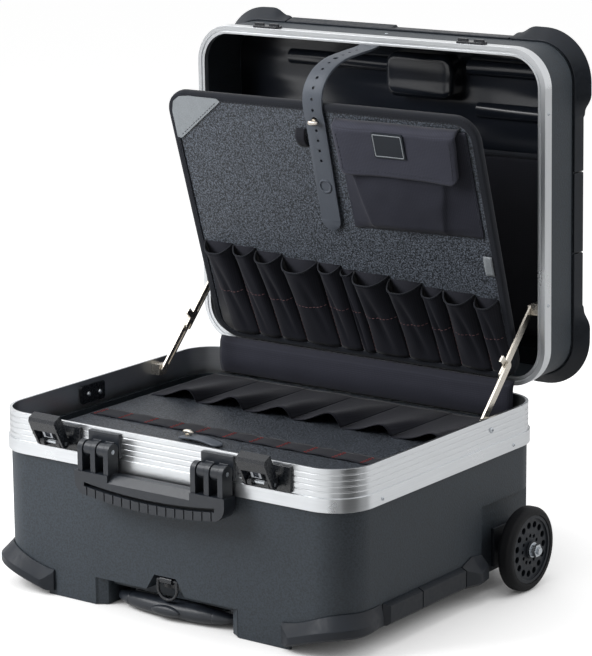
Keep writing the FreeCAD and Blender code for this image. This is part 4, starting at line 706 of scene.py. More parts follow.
class TOOLCASE_OT_stage(bpy.types.Operator):
    """Floor, backdrop light, lamps and the camera at the viewing angle"""
    bl_idname = "toolcase.stage"
    bl_label = "Stage"

    def execute(self, context):
        scene = context.scene
        scene.view_settings.view_transform = "Standard"
        self.add_floor()
        self.light_world(scene)
        self.add_lamp("key_lamp", (-0.86, -1.08, 1.1), 0.8, 28.0)
        self.add_lamp("side_lamp", (1.5, 0.9, 1.3), 0.9, 11.5)
        self.add_lamp("top_lamp", (0.2, -0.3, 2.8), 1.6, 13.0)
        self.add_lamp("panel_lamp", (-0.8, -0.55, 0.75), 0.4, 2.6)
        self.add_lamp("shine_lamp", (-1.5, -1.1, 2.1), 1.3, 26.0, shine=True)
        self.add_dark_card("black_cloth", [(0.58, 0.004), (0.92, 0.004)], 30.0, 104.0)
        self.add_dark_card("black_screen", [(0.92, 0.004), (3.3, 0.004), (3.3, 2.3)], 50.0, 86.0)
        self.add_camera(scene)
        return {"FINISHED"}

    def add_floor(self):
        """White floor just under the case."""
        half = 6.0
        level = -0.0005
        corners = [(-half, -half, level), (half, -half, level), (half, half, level), (-half, half, level)]
        floor = add_mesh("studio_floor", corners, [(0, 1, 2, 3)], "white_paper")

    def light_world(self, scene):
        """White surroundings that light the case at a plain level."""
        world = bpy.data.worlds.new("white_studio")
        scene.world = world
        world.use_nodes = True
        tree = world.node_tree
        lighting = 0.11
        rays = add_node(tree, "ShaderNodeLightPath").outputs
        seen = rays["Is Camera Ray"]
        for way in ("Is Glossy Ray", "Is Transmission Ray"):
            seen = add_node(tree, "ShaderNodeMath", {0: seen, 1: rays[way]}, operation="MAXIMUM")
        level = add_node(tree, "ShaderNodeMapRange", {"Value": seen, "To Min": lighting})
        set_inputs(tree, tree.nodes["Background"], {"Color": (1.0, 1.0, 1.0, 1.0), "Strength": level})

    def add_lamp(self, name, place, width, power, shine=False):
        """Square soft lamp aimed at the case; it either lights or only shines on glossy faces."""
        data = bpy.data.lights.new(name, "AREA")
        data.size = width
        data.energy = power
        lamp = add_object(name, data)
        lamp.location = place
        lamp.visible_camera = False
        lamp.visible_glossy = shine
        lamp.visible_diffuse = not shine
        aim = Vector((0.0, 0.0, 0.25)) - Vector(place)
        lamp.rotation_euler = aim.to_track_quat("-Z", "Y").to_euler()

    def add_dark_card(self, name, rows, from_degrees, to_degrees):
        """Black felt that lies round the front corner; only mirrors see it, as a dark front corner."""
        steps = 16
        first = radians(from_degrees)
        last = radians(to_degrees)
        points = []
        for i in range(steps + 1):
            turn = first + (last - first) * i / steps
            points += [(radius * sin(turn), -radius * cos(turn), z) for radius, z in rows]
        card = add_mesh(name, points, grid_faces(steps + 1, len(rows)), "black_felt")
        card.visible_camera = False
        card.visible_diffuse = False
        card.visible_shadow = False

    def add_camera(self, scene):
        """Camera that was fitted to the case's straight edges."""
        turn = radians(36.28)
        height = radians(12.83)
        roll = radians(-0.4993)
        distance = 3.074
        aim_across = 0.03055
        aim_up = 0.2864
        focal_length = 152.6
        right = Vector((cos(turn), sin(turn), 0.0))
        level = cos(height)
        back = Vector((sin(turn) * level, -cos(turn) * level, sin(height)))
        up = back.cross(right)
        across = right * cos(roll) + up * sin(roll)
        above = up * cos(roll) - right * sin(roll)
        place = right * aim_across + Vector((0.0, 0.0, aim_up)) + back * distance
        data = bpy.data.cameras.new("case_camera")
        data.lens = focal_length
        data.sensor_width = 36.0
        data.clip_end = 30.0
        camera = add_object("case_camera", data)
        basis = Matrix((across, above, back)).transposed().to_4x4()
        camera.matrix_world = Matrix.Translation(place) @ basis
        scene.camera = camera


class TOOLCASE_OT_shells(bpy.types.Operator):
    """Moulded shells, bumpers and strips of the base and the lid"""
    bl_idname = "toolcase.shells"
    bl_label = "Shells and bumpers"

    def execute(self, context):
        dress("grained_abs", 1.2, ["base_shell", "lid_shell"])
        dress("satin_polypropylene", 2.2, ["base_corner_bumpers", "lid_corner_bumpers"], segments=3)
        dress("satin_polypropylene", 0.8, ["base_side_strips", "lid_edge_strips", "trolley_housing",
                                           "wheel_brackets", "pallet_ledges"])
        return {"FINISHED"}


class TOOLCASE_OT_frames(bpy.types.Operator):
    """Extruded frames of the base and the lid, with the hinges"""
    bl_idname = "toolcase.frames"
    bl_label = "Frames"

    def execute(self, context):
        dress("anodised_aluminium", 0.35, ["base_frame"])
        dress("milky_anodised_aluminium", 0.35, ["lid_frame"])
        dress("zinc_plate", 0.3, ["hinge_base_leaves", "hinge_lid_leaves", "hinge_pins"])
        return {"FINISHED"}


class TOOLCASE_OT_hardware(bpy.types.Operator):
    """Carry handle, latches, keepers, stays and turn-lock studs"""
    bl_idname = "toolcase.hardware"
    bl_label = "Handle, latches and stays"

    def execute(self, context):
        dress("filled_nylon", 3.4, ["carry_handle"], segments=4)
        dress("filled_nylon", 1.8, ["handle_brackets"], segments=3)
        dress("black_enamel", 1.5, ["latch_lever_left", "latch_lever_right"], segments=3)
        dress("black_enamel", 0.7, ["latch_plates", "latch_keepers"])
        # The claws' chrome is darkened: painted shade for the dark hood over them
        dress("chrome_plate", 0.5, ["latch_claw_left", "latch_claw_right"])
        dress("zinc_plate", 0.3, ["handle_pins", "latch_pins"])
        dress("warm_nickel", 0.4, ["stay_lower_left", "stay_lower_right", "stay_upper_left",
                                   "stay_upper_right", "stay_base_brackets", "stay_lid_brackets"])
        dress("warm_nickel", 0.8, ["strap_stud", "pallet_stud"])
        self.add_turn_key("strap_turn_key", "strap_key_turn", on_panel(0, 1, 0) - on_panel(0, 0, 0))
        self.add_turn_key("pallet_turn_key", "pallet_key_turn", Vector((0, 1, 0)))
        return {"FINISHED"}

    def add_turn_key(self, node, joint, up):
        """Cast turn key: a plump oval with a waist, so that two fingers can grip it."""
        low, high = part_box(node)
        middle = (Vector(low) + Vector(high)) / 2 / MM
        out = RIGHT.cross(up).normalized()
        half_length = 7.3
        half_width = 4.0
        half_depth = 2.9
        waist = 0.62

        def casting(rise, round_share):
            tilt = pi * (rise - 0.5)
            turn = 2 * pi * round_share
            girth = abs(cos(tilt)) ** 0.7
            along = girth * cos(turn)
            across = girth * sin(turn) * mix(waist, 1, abs(along))
            flat = RIGHT * half_length * along + up * half_width * across
            return middle + flat + out * half_depth * sin(tilt)

        add_sheet(node + "_casting", [casting], 17, 28, "warm_nickel", body=JOINTS[joint]["child"],
                  stands_for=[node], slot="stay_nickel")


class TOOLCASE_OT_wheels(bpy.types.Operator):
    """Tyres, hubs and axle fittings"""
    bl_idname = "toolcase.wheels"
    bl_label = "Wheels"

    def execute(self, context):
        dress("moulded_rubber", 0.6, ["tyre_left", "tyre_right"])
        dress("satin_polypropylene", 0.5, ["hub_left", "hub_right"])
        dress("zinc_plate", 0.4, ["axle_bolts", "axle_nuts", "axle_washers"])
        return {"FINISHED"}


class TOOLCASE_OT_trolley(bpy.types.Operator):
    """Pull-out trolley and the tow ring"""
    bl_idname = "toolcase.trolley"
    bl_label = "Trolley"

    def execute(self, context):
        dress("drawn_aluminium", 0.4, ["trolley_guide_tubes", "trolley_stage_one", "trolley_stage_two"])
        dress("black_enamel", 0.4, ["tow_ring", "ring_bracket"])
        self.add_grip()
        self.add_button()
        self.add_cheeks()
        return {"FINISHED"}

    def grip_section(self, x):
        """Middle across the depth, half depth and half height of the grip at a place along it."""
        share = min(1.0, abs(x) / GRIP_HALF)
        end_y = 4.0
        end_z = 3.5
        half_y = end_y + 9.5 * sqrt(1.0 - share * share)
        half_z = end_z + 6.4 * (1.0 - share ** 4)
        return GRIP_REAR_Y - half_y, half_y, half_z

    def add_grip(self):
        """Boat-shaped grip with a fine seam before each end cap."""
        steps = 48
        seam = 0.72 * GRIP_HALF
        seam_half = 0.6
        cap_length = 3.0
        cap_angles = [radians(22 * k) for k in range(1, 5)]
        places = [(GRIP_HALF * (2 * i / steps - 1), 1.0) for i in range(steps + 1)]
        for side in (-1, 1):
            places += [(side * seam - seam_half, 1.0), (side * seam, 0.94), (side * seam + seam_half, 1.0)]
            places += [(side * (GRIP_HALF + cap_length * sin(angle)), cos(angle)) for angle in cap_angles]
        places.sort()

        def moulding(along, round_share):
            x, scale = places[round(along * (len(places) - 1))]
            middle, half_y, half_z = self.grip_section(x)
            turn = 2 * pi * round_share
            y = middle - half_y * scale * cos(turn)
            return Vector((x, y, GRIP_Z + half_z * scale * sin(turn)))

        add_sheet("trolley_grip_moulding", [moulding], len(places), 33, "filled_nylon",
                  body=JOINTS["trolley_second_slide"]["child"], stands_for=["trolley_grip"],
                  slot="handle_plastic")

    def add_button(self):
        """Oval release button that stands out of the grip's front and follows its curve."""
        half_x = 20.0
        half_z = 6.3
        rings = [(0.02, 3.4), (0.4, 3.3), (0.7, 3.0), (0.86, 2.4), (0.95, 1.3), (1.0, -1.5)]

        def cap(share, round_share):
            reach, proud = rings[round(share * (len(rings) - 1))]
            turn = 2 * pi * round_share
            x = half_x * reach * cos(turn)
            z = half_z * reach * sin(turn)
            middle, deep, high = self.grip_section(x)
            return Vector((x, middle - deep * sqrt(1.0 - (z / high) ** 2) - proud, GRIP_Z + z))

        add_sheet("trolley_button_cap", [cap], len(rings), 49, "filled_nylon",
                  body=JOINTS["trolley_button_press"]["child"], stands_for=["trolley_button"],
                  slot="handle_plastic")

    def add_cheeks(self):
        """Moulded side walls of the pocket that the grip lies in, turned in behind the apron."""
        plan = [(-98.0, -189.3), (-96.0, -187.0), (-86.5, -181.5), (-86.0, -179.0), (-86.0, -146.0)]
        levels = [0.6, 8.0, 16.0, 24.0, 30.8]
        for side, name in ((1, "pocket_cheek_left"), (-1, "pocket_cheek_right")):
            points = [Vector((side * x, y, z)) for x, y in plan for z in levels]
            add_piece(name, points, grid_faces(len(plan), len(levels)), "grained_abs", body="base",
                      thickness=2.0, slot="shell_plastic", smooth=False)


class TOOLCASE_OT_lid_lining(bpy.types.Operator):
    """Glossy lining and the document pocket in the lid"""
    bl_idname = "toolcase.lid_lining"
    bl_label = "Lid lining"

    def execute(self, context):
        dress("thermoformed_polystyrene", 3.5, ["lid_liner"], segments=4)
        half = 205.0
        top = -60.0
        foot = 150.0
        set_off = 1.5
        most_slack = 7.0

        def pocket(up, across):
            x = half * (2 * across - 1)
            y = mix(foot, top, up)
            slack = most_slack * sin(pi * across) ** 0.5 * up ** 0.6
            ripple = 1.2 * rumple(x * 0.02, y * 0.03, 3.0)
            return in_lid(x, y, LID_BACK_Z - set_off - slack - ripple)

        sheet = add_sheet("document_pocket_cloth", [pocket], 24, 44, "woven_polyester", body="lid",
                          thickness=size("cloth_thickness"), stands_for=["lid_document_pocket"],
                          slot="pocket_cloth")
        line = [(pocket(1.0, i / 60), Vector((0, 0, 1)), Vector((0, -1, 0))) for i in range(61)]
        section = [(-5.0, -0.7), (-5.0, 0.9), (1.2, 1.1), (1.6, 0.0), (1.2, -0.9)]
        add_tape("document_pocket_hem", line, section, "ribbed_polyester_tape", body="lid",
                 slot="binding_cloth")
        return {"FINISHED"}


class TOOLCASE_OT_tool_panel(bpy.types.Operator):
    """Board of the tool panel with its edge binding and corner patch"""
    bl_idname = "toolcase.tool_panel"
    bl_label = "Tool panel"

    def execute(self, context):
        dress("embossed_polyethylene", 0.5, ["panel_board"])
        self.add_binding()
        self.add_patch()
        self.add_loop()
        self.add_side_tag()
        return {"FINISHED"}

    def add_side_tag(self):
        """Small bare tag sewn into the right edge of the panel."""
        left = 193.0
        width = 11.0
        foot = 131.0
        height = 24.0

        def tag(up, across):
            bulge = 1.2 * sin(pi * up) * (1 - across)
            return on_panel(left + width * across, foot + height * up, 1.9 + bulge)

        piece = add_sheet("panel_side_tag", [tag], 10, 5, "coated_cloth", body="tool_panel", thickness=0.6,
                          slot="binding_cloth")

    def add_binding(self):
        """Tape folded round the edge of the board, with a row of stitches."""
        section = [(-8.0, 0.05), (-8.0, 0.8), (-7.0, 1.15), (-3.0, 1.35), (-0.4, 1.2), (0.8, 0.4),
                   (1.15, -1.5), (1.15, -4.5), (0.8, -6.4), (-0.4, -7.2), (-3.0, -7.35), (-7.0, -7.15),
                   (-8.0, -6.8), (-8.0, -6.05)]
        step = 12.0
        seam_inset = 6.6
        seam_out = 1.25
        outline = rounded_outline(0.0, PANEL_HALF, 0.0, PANEL_LENGTH, PANEL_CORNER, 12)
        dense = []
        for row, following in zip(outline, outline[1:] + outline[:1]):
            count = max(1, int(hypot(following[0] - row[0], following[1] - row[1]) / step))
            dense += [[a + (b - a) * k / count for a, b in zip(row, following)] for k in range(count)]
        line = panel_line(dense, 0.0)
        add_tape("panel_edge_tape", line, section, "ribbed_polyester_tape", closed=True, body="tool_panel",
                 stands_for=["panel_binding"], slot="binding_cloth")
        seam = [place - side * seam_inset + out * seam_out for place, side, out in line]
        add_stitches("panel_edge_stitches", [seam + seam[:1]], "dark_thread", "tool_panel", "binding_cloth")

    def add_patch(self):
        """Bare triangular corner patch, sewn on."""
        corners = [(-207.0, 263.0), (-206.5, 296.0), (-202.0, 309.0), (-192.0, 316.0), (-178.0, 317.5),
                   (-137.0, 317.0), (-133.0, 313.5), (-201.0, 262.0)]
        underside = 0.6
        top = 1.75
        thread_out = 1.9
        low = [on_panel(x, up, underside) for x, up in corners]
        high = [on_panel(x, up, top) for x, up in corners]
        add_slab("panel_corner_patch", low, high, "coated_cloth", body="tool_panel", slot="strap_rubber")
        edge = [on_panel(-199.0, 267.0, thread_out), on_panel(-138.0, 313.2, thread_out)]
        add_stitches("panel_patch_stitches", [edge], "dark_thread", "tool_panel", "binding_cloth")

    def add_loop(self):
        """Small cloth loop beside the strap."""
        left = -31.0
        width = 13.0
        foot = 268.0
        height = 22.0
        bulge = 4.5

        def loop(up, across):
            return on_panel(left + width * across, foot + height * up, 0.7 + bulge * sin(pi * up))

        piece = add_sheet("panel_pen_loop", [loop], 12, 6, "woven_elastic", body="tool_panel", thickness=1.2,
                          slot="loop_elastic")


class TOOLCASE_OT_panel_pockets(bpy.types.Operator):
    """Row of open cloth pockets along the foot of the tool panel"""
    bl_idname = "toolcase.panel_pockets"
    bl_label = "Panel pockets"

    def execute(self, context):
        chance = random.Random(7)
        row_height = 0.52
        row_out = 0.65
        hem_radius = 1.0
        shares = [k / 10 for k in range(11)]
        surfaces = []
        seams = []
        rim = []
        x = -POCKET_ROW / 2
        for width in POCKET_WIDTHS:
            surface, top = self.pocket(x, width, chance)
            surfaces.append(surface)
            rim += [(x, top), (x + width, top)]
            x += width
            shift = self.foot_shift(x)
            seams.append([on_panel(x + shift * (1 - up), 10.0 + (top - 12.0) * up, 1.1) for up in shares])
        piece = add_sheet("panel_pocket_cloth", surfaces, 26, 17, "woven_polyester", body="tool_panel",
                          thickness=size("cloth_thickness"), stands_for=["panel_pockets"],
                          slot="pocket_cloth")
        self.add_backing(rim)
        hems = [[surface(1.0, k / 24) for k in range(25)] for surface in surfaces]
        edges = add_cords("panel_pocket_hems", hems, hem_radius, "ribbed_polyester_tape", "tool_panel",
                          "binding_cloth")
        lift = PANEL_OUT * row_out
        rows = [[surface(row_height, k / 20) + lift for k in range(21)] for surface in surfaces]
        threads = add_stitches("panel_pocket_stitches", rows + seams[:-1], "faded_thread", "tool_panel",
                               "pocket_cloth")
        for soft in (piece, edges, threads):
            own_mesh(soft)
        return {"FINISHED"}

    def pocket(self, left, width, chance):
        """Surface of one pocket with its own lean, bulge and creases, and the height of its rim."""
        foot = 8.5
        left_rim = 130.0
        right_rim = 99.0
        foot_depth = 3.0
        most_bulge = 0.42 * width
        wide = 34.0
        flatness = 3.2
        seam_gap = 0.4
        fold_depth = 10.4
        fold_slant = 0.25
        fold_width = 0.09
        lean = chance.uniform(-0.18, 0.3)
        bulge = min(size("pocket_bulge"), most_bulge) * chance.uniform(0.88, 1.1)
        dip = size("rim_dip") * chance.uniform(0.7, 1.15) * min(1.0, width / wide)
        share = (left + width / 2) / POCKET_ROW + 0.5
        top = mix(left_rim, right_rim, share) + chance.uniform(-1.5, 1.5)
        crease = chance.uniform(0.25, 0.75)
        seed = chance.uniform(0.0, 90.0)

        def surface(up, across):
            bow = 1.0 - abs(2.0 * across ** exp(-lean) - 1.0) ** flatness
            stand = mix(foot_depth, bulge, up ** 1.25)
            height = mix(foot, top - dip * bow, up)
            fold = fold_depth * (1 - up) * up * hump(across - crease - fold_slant * (0.5 - up), fold_width)
            ripple = 0.9 * bow * rumple(across * 3.0, up * 2.4, seed)
            edge = 0.8 * hump(up - 1.0, 0.03)
            place = left + seam_gap + (width - 2 * seam_gap) * across
            slant = self.foot_shift(place) * (1 - up)
            return on_panel(place + slant, height, 0.7 + bow * (stand + ripple + edge - fold))

        return surface, top

    def foot_shift(self, x):
        """How far a pocket's foot is sewn to the right of its mouth, less at the right end of the row."""
        left_shift = 14.0
        right_shift = 6.0
        return mix(left_shift, right_shift, x / POCKET_ROW + 0.5)

    def add_backing(self, rim):
        """Cloth behind the pockets, against the board."""
        foot = 7.0
        margin = 0.6
        out = 0.25
        points = [on_panel(x, up, out) for x, top in rim for up in (foot, top + margin)]
        faces = [(2 * i, 2 * i + 2, 2 * i + 3, 2 * i + 1) for i in range(0, len(rim) - 1, 2)]
        piece = add_piece("panel_pocket_backing", points, faces, "woven_polyester", body="tool_panel",
                          thickness=0.4, slot="pocket_cloth")


class TOOLCASE_OT_flap_pocket(bpy.types.Operator):
    """Large pocket with its gussets, flap and bare plate"""
    bl_idname = "toolcase.flap_pocket"
    bl_label = "Flap pocket"

    def execute(self, context):
        self.add_bag()
        self.add_flap()
        self.add_plate()
        return {"FINISHED"}

    def add_bag(self):
        """Bag: a front that narrows to its foot, with soft gussets at its sides and foot."""
        foot = 174.0
        top = 305.0
        foot_left = 54.0
        foot_right = 154.0
        top_left = 29.0
        top_right = 181.0
        fold = 4.0
        sewn_left = [25.0, 27.0]
        sewn_right = [194.0, 198.0]
        thread_out = 1.6
        least_depth = 3.0
        fullness = 8.0
        knots = [0.0, 1.0, 2.0, 3.0, 12.0, 13.0, 14.0, 15.0]

        def bag(up, across):
            height = mix(foot, top, up)
            left = mix(foot_left, top_left, up)
            right = mix(foot_right, top_right, up)
            depth = least_depth + fullness * sin(pi * min(1.0, 0.18 + 0.72 * up)) ** 0.7
            lift = min(1.0, up / 0.07)
            rise = [0.4, 1.0, 0.75 * depth * lift, depth * lift]
            place = across * knots[-1]
            front = [left, left + fold, right - fold, right]
            x = between(place, knots, sewn_left + front + sewn_right)
            out = between(place, knots, rise + rise[::-1])
            slack = 0.25
            if knots[3] < place < knots[4]:
                out += 1.6 * sin(pi * (place - knots[3]) / (knots[4] - knots[3])) * lift
                slack = 0.5
            pleat = 1.8 * sin(height * 0.11 + x * 0.07) * hump(up - 0.3, 0.25)
            crease = 2.6 * rumple(x * 0.035, height * 0.05, 1.7)
            sag = 0.03 * (x - 100.0) * (1 - up)
            return on_panel(x, height + sag, 0.4 + out + slack * (pleat + crease) * lift)

        piece = add_sheet("flap_pocket_cloth", [bag], 40, 61, "backed_polyester", body="tool_panel",
                          thickness=size("cloth_thickness"), stands_for=["flap_pocket"], slot="pocket_cloth")
        outline = [on_panel(26.5, 304.0 - 4.0 * k, thread_out) for k in range(32)]
        outline += [on_panel(27.0 + 5.0 * k, 174.5 + 0.12 * (k - 15), thread_out) for k in range(34)]
        side = [on_panel(195.5, 176.0 + 4.0 * k, thread_out) for k in range(32)]
        add_stitches("flap_pocket_stitches", [outline, side], "dark_thread", "tool_panel", "pocket_cloth")

    def flap_point(self, up, across):
        """Point on the flap: it folds over at the top and curls a little at its lower edge."""
        top = 308.0
        out = 14.6
        taper = 3.0 * (1 - up)
        left = 27.0 + taper
        right = 190.0 - taper
        x = mix(left, right, across)
        edge = abs(2 * across - 1)
        corner = 9.0 * past(edge, 0.88, 0.12) ** 2
        low = 246.0 + 3.0 * sin(pi * across) + corner
        height = mix(low, top, up)
        top_fall = 12.0 * past(up, 0.86, 0.14) ** 2
        curl = 1.8 * (1 - up) ** 3
        wave = 1.1 * rumple(x * 0.03, height * 0.04, 9.0)
        side = 3.0 * past(edge, 0.9, 0.1) ** 2
        return on_panel(x, height, out - top_fall + curl + wave - side)

    def add_flap(self):
        """Flap over the bag, with a sewn edge."""
        # The flap's cloth is lighter than the pockets': painted light
        piece = add_sheet("pocket_flap_cloth", [self.flap_point], 26, 60, "coated_polyester",
                          body="tool_panel", thickness=1.5, stands_for=["pocket_flap"], slot="pocket_cloth")
        lift = PANEL_OUT * 0.9
        low = 0.09
        tall = 0.75
        left = 0.04
        right = 0.96
        lines = [[self.flap_point(low, left + (right - left) * k / 60) + lift for k in range(61)]]
        for across in (left, right):
            lines.append([self.flap_point(low + tall * k / 20, across) + lift for k in range(21)])
        add_stitches("pocket_flap_stitches", lines, "dark_thread", "tool_panel", "pocket_cloth")

    def add_plate(self):
        """Bare moulded plate with a pale raised border."""
        half = 15.0
        border_half = 12.9
        underside = 13.5
        outline = rounded_outline(PLATE_X, 20.5, PLATE_UP - half, PLATE_UP + half, 2.0, 4)
        low = [on_panel(row[0], row[1], underside) for row in outline]
        high = [on_panel(row[0], row[1], PLATE_TOP) for row in outline]
        add_slab("pocket_plate", low, high, "satin_polypropylene", body="tool_panel", slot="bumper_plastic")
        border = rounded_outline(PLATE_X, 18.4, PLATE_UP - border_half, PLATE_UP + border_half, 1.2, 4)
        section = [(-0.6, -0.1), (-0.6, 0.35), (0.6, 0.35), (0.6, -0.1)]
        add_tape("pocket_plate_border", panel_line(border, PLATE_TOP), section, "coated_cloth", closed=True,
                 body="tool_panel", slot="strap_rubber")


class TOOLCASE_OT_strap(bpy.types.Operator):
    """Retaining strap with its holes and ring button"""
    bl_idname = "toolcase.strap"
    bl_label = "Retaining strap"
    stud_up = 302.0
    end_up = 164.0

    def execute(self, context):
        low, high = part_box("strap_stud")
        self.middle = (low[0] + high[0]) / 2 / MM
        self.path = self.strap_path()
        self.add_strap(sum((b - a).length for a, b in zip(self.path, self.path[1:])))
        self.add_button()
        return {"FINISHED"}

    def strap_path(self):
        """Line of the strap's middle, from the lid frame over the panel's edge and down its face."""
        anchor = in_lid(0, -181.0, 205.5)
        arch = [(anchor.y, anchor.z), (178.0, 578.3), (152.0, 575.4), (124.0, 571.0), (103.0, 562.0),
                (90.5, 549.0), (85.8, 536.0)]
        posts = [Vector((0, y, z)) for y, z in arch] + [on_panel(0, 317.0, 2.8)]
        posts += [on_panel(0, up, 2.7) for up in (306.0, 280.0, 220.0, self.end_up)]
        steps = 12
        fine = []
        for i in range(len(posts) - 1):
            before = posts[max(0, i - 1)]
            start = posts[i]
            end = posts[i + 1]
            after = posts[min(len(posts) - 1, i + 2)]
            slope = end - before
            bend = 2 * before - 5 * start + 4 * end - after
            twist = 3 * start - before - 3 * end + after
            for k in range(steps):
                t = k / steps
                fine.append(0.5 * (2 * start + slope * t + bend * t ** 2 + twist * t ** 3))
        fine.append(posts[-1])
        return resampled(fine, 1.0)

    def bent(self, along, across):
        """Point of the flat strap, bent along its line; the strap runs a little askew above the stud."""
        index = max(0, min(int(along), len(self.path) - 2))
        place = self.path[index].lerp(self.path[index + 1], along - index)
        tail = self.stud_up - self.end_up
        below = past(along, len(self.path) - tail, tail)
        lid_shift = 8.0
        lid_run = 130.0
        tail_shift = 6.0
        askew = self.middle + lid_shift * max(0.0, 1 - along / lid_run) - tail_shift * below
        return place + Vector((askew + across, 0, 0))

    def add_strap(self, length):
        """Strap with its row of holes, cut flat and then bent."""
        half = 13.0
        end = length - half
        stud = length - (self.stud_up - self.end_up)
        stud_radius = 4.4
        radius = size("hole_diameter") / 2
        wide_hole = -7
        wide_share = 1.9
        first_hole = 22.0
        outline = [(0.0, -half), (end, -half)]
        for k in range(1, 18):
            turn = radians(-90.0 + 10.0 * k)
            outline.append((end + half * cos(turn), half * sin(turn)))
        outline += [(end, half), (0.0, half)]
        loops = [outline]
        for i in range(-13, 5):
            along = stud + i * size("hole_pitch")
            if i != 0 and along >= first_hole:
                loops.append(circle(along, 0.0, radius * (wide_share if i == wide_hole else 1.0), 15))
        loops.append(circle(stud, 0.0, stud_radius, 18))
        mesh = bmesh.new()
        edges = []
        for loop in loops:
            corners = [mesh.verts.new((row[0], row[1], 0.0)) for row in loop]
            edges += [mesh.edges.new((a, b)) for a, b in zip(corners, corners[1:] + corners[:1])]
        bmesh.ops.triangle_fill(mesh, edges=edges, use_beauty=True, use_dissolve=False)
        step = 5.0
        for k in range(1, int(length / step)):
            whole = mesh.verts[:] + mesh.edges[:] + mesh.faces[:]
            bmesh.ops.bisect_plane(mesh, geom=whole, plane_co=(k * step, 0, 0), plane_no=(1, 0, 0), dist=1e-4)
        mesh.verts.index_update()
        points = [self.bent(vert.co.x, vert.co.y) for vert in mesh.verts]
        faces = [tuple(vert.index for vert in face.verts) for face in mesh.faces]
        mesh.free()
        strap = add_piece("rubber_strap", points, faces, "extruded_pvc", thickness=2.4,
                          stands_for=["retaining_strap"], slot="strap_rubber")
        round_edges(strap, 0.5, 2, 60.0)
        self.bent(25.0, 0) * MM
        self.bent(stud - 28.0, 0) * MM
        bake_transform(strap)

    def add_button(self):
        """Pressed ring on the strap below the stud."""
        aside = 3.5
        up = 221.0
        radius = 7.4
        out = 3.9
        line = panel_line(circle(self.middle - aside, up, radius, 40), out)
        section = [(-1.6, -0.4), (-1.1, 0.7), (0.0, 1.1), (1.1, 0.7), (1.6, -0.4)]
        add_tape("strap_ring_button", line, section, "extruded_pvc", closed=True, body="tool_panel",
                 slot="strap_rubber")


class TOOLCASE_OT_hinge_cover(bpy.types.Operator):
    """Cloth that covers the hinge line"""
    bl_idname = "toolcase.hinge_cover"
    bl_label = "Hinge cover"

    def execute(self, context):
        half = 207.0
        back = 183.0
        foot = 172.5
        height = 45.0

        def cover(up, across):
            x = half * (2 * across - 1)
            bow = 9.0 * sin(pi * up) ** 0.8 + 2.0 * hump(up - 0.86, 0.14)
            ripple = 0.8 * sin(pi * up) * rumple(x * 0.018, up * 2.0, 5.0)
            ends = 1.0 - 0.5 * past(abs(2 * across - 1), 0.95, 0.05) ** 2
            return Vector((x, back - (bow + ripple) * ends, foot + height * up))

        cloth = add_sheet("hinge_cover_cloth", [cover], 22, 70, "backed_polyester", thickness=1.2,
                          stands_for=["hinge_cover"], slot="pocket_cloth")
        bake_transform(cloth)
        return {"FINISHED"}


class TOOLCASE_OT_pallet(bpy.types.Operator):
    """Base tool panel with its elastic loops and billowing pockets"""
    bl_idname = "toolcase.pallet"
    bl_label = "Base tool panel"

    def execute(self, context):
        # The base tool panel's board is a darker copy of the same board: painted shade
        dress("embossed_dark_polyethylene", 0.6, ["pallet_board"])
        self.add_loops()
        self.add_billows()
        self.add_tab()
        return {"FINISHED"}

    def add_loops(self):
        """Elastic band sewn down at every loop with red thread."""
        count = 11
        pitch = 37.0
        row_y = -48.0
        left = -210.0
        right = 208.0
        half = 13.0
        seam_half = 12.5
        seam_aside = 1.2
        seam_top = PALLET_TOP + 1.6
        row_half = count * pitch / 2

        def band(up, across):
            x = mix(left, right, across)
            share = ((x + row_half) / pitch) % 1.0
            arch = sin(pi * share) ** 1.4 if abs(x) < row_half else 0.0
            return Vector((x, row_y + half * (2 * up - 1), PALLET_TOP + 0.75 + arch))

        piece = add_sheet("tool_loop_elastic", [band], 8, 140, "woven_elastic", body="base", thickness=1.2,
                          stands_for=["pallet_loops"], slot="loop_elastic")
        lines = []
        for i in range(count + 1):
            for side in (-1, 1):
                x = i * pitch - row_half + side * seam_aside
                lines.append([Vector((x, row_y + seam_half * (k / 4 - 1), seam_top)) for k in range(9)])
        add_stitches("tool_loop_stitches", lines, "red_thread", "base", "loop_elastic")

    def billow(self, left, width, chance):
        """Surface of one pocket, which rises gently and falls steeply at its right."""
        front = 47.0
        depth = 123.0
        mouth_shift = 8.0
        overhang = 0.55
        height = size("billow_height") * chance.uniform(0.9, 1.12)
        skew = chance.uniform(1.9, 2.4)
        seed = chance.uniform(0.0, 60.0)

        def surface(back, across):
            open_share = (1 - back) ** 1.3
            bow = (0.5 - 0.5 * cos(2 * pi * across ** skew)) ** 0.6
            lift = mix(1.0, height, open_share)
            ripple = 1.2 * rumple(across * 3.0, back * 3.0, seed)
            x = left + width * across + overhang * bow * lift * open_share
            y = front + depth * back - mouth_shift * bow * open_share
            return Vector((x, y, PALLET_TOP + 0.7 + bow * (lift + ripple)))

        return surface

    def add_billows(self):
        """Cloth pockets that billow open towards the front."""
        chance = random.Random(11)
        count = 6
        left = -208.0
        right = 200.0
        width = (right - left) / count
        surfaces = [self.billow(left + i * width, width, chance) for i in range(count)]
        piece = add_sheet("pallet_pocket_cloth", surfaces, 24, 33, "woven_polyester", body="base",
                          thickness=size("cloth_thickness"), stands_for=["pallet_pockets"],
                          slot="pocket_cloth")

    def add_tab(self):
        """Short strap tab under the turn-lock of the base tool panel."""
        low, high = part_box("pallet_stud")
        x = (low[0] + high[0]) / 2 / MM
        y = (low[1] + high[1]) / 2 / MM
        start = -8.0
        length = 60.0
        half = 8.0
        slant = 0.16

        def tab(up, across):
            along = start + length * up
            reach = half * (1.0 - past(up, 0.86, 0.14) ** 2 * 0.6)
            lift = 2.2 + 2.4 * sin(pi * up)
            return Vector((x + along, y - slant * along + reach * (2 * across - 1), PALLET_TOP + lift))

        add_sheet("pallet_strap_tab", [tab], 24, 8, "extruded_pvc", body="base", thickness=2.0,
                  slot="strap_rubber")


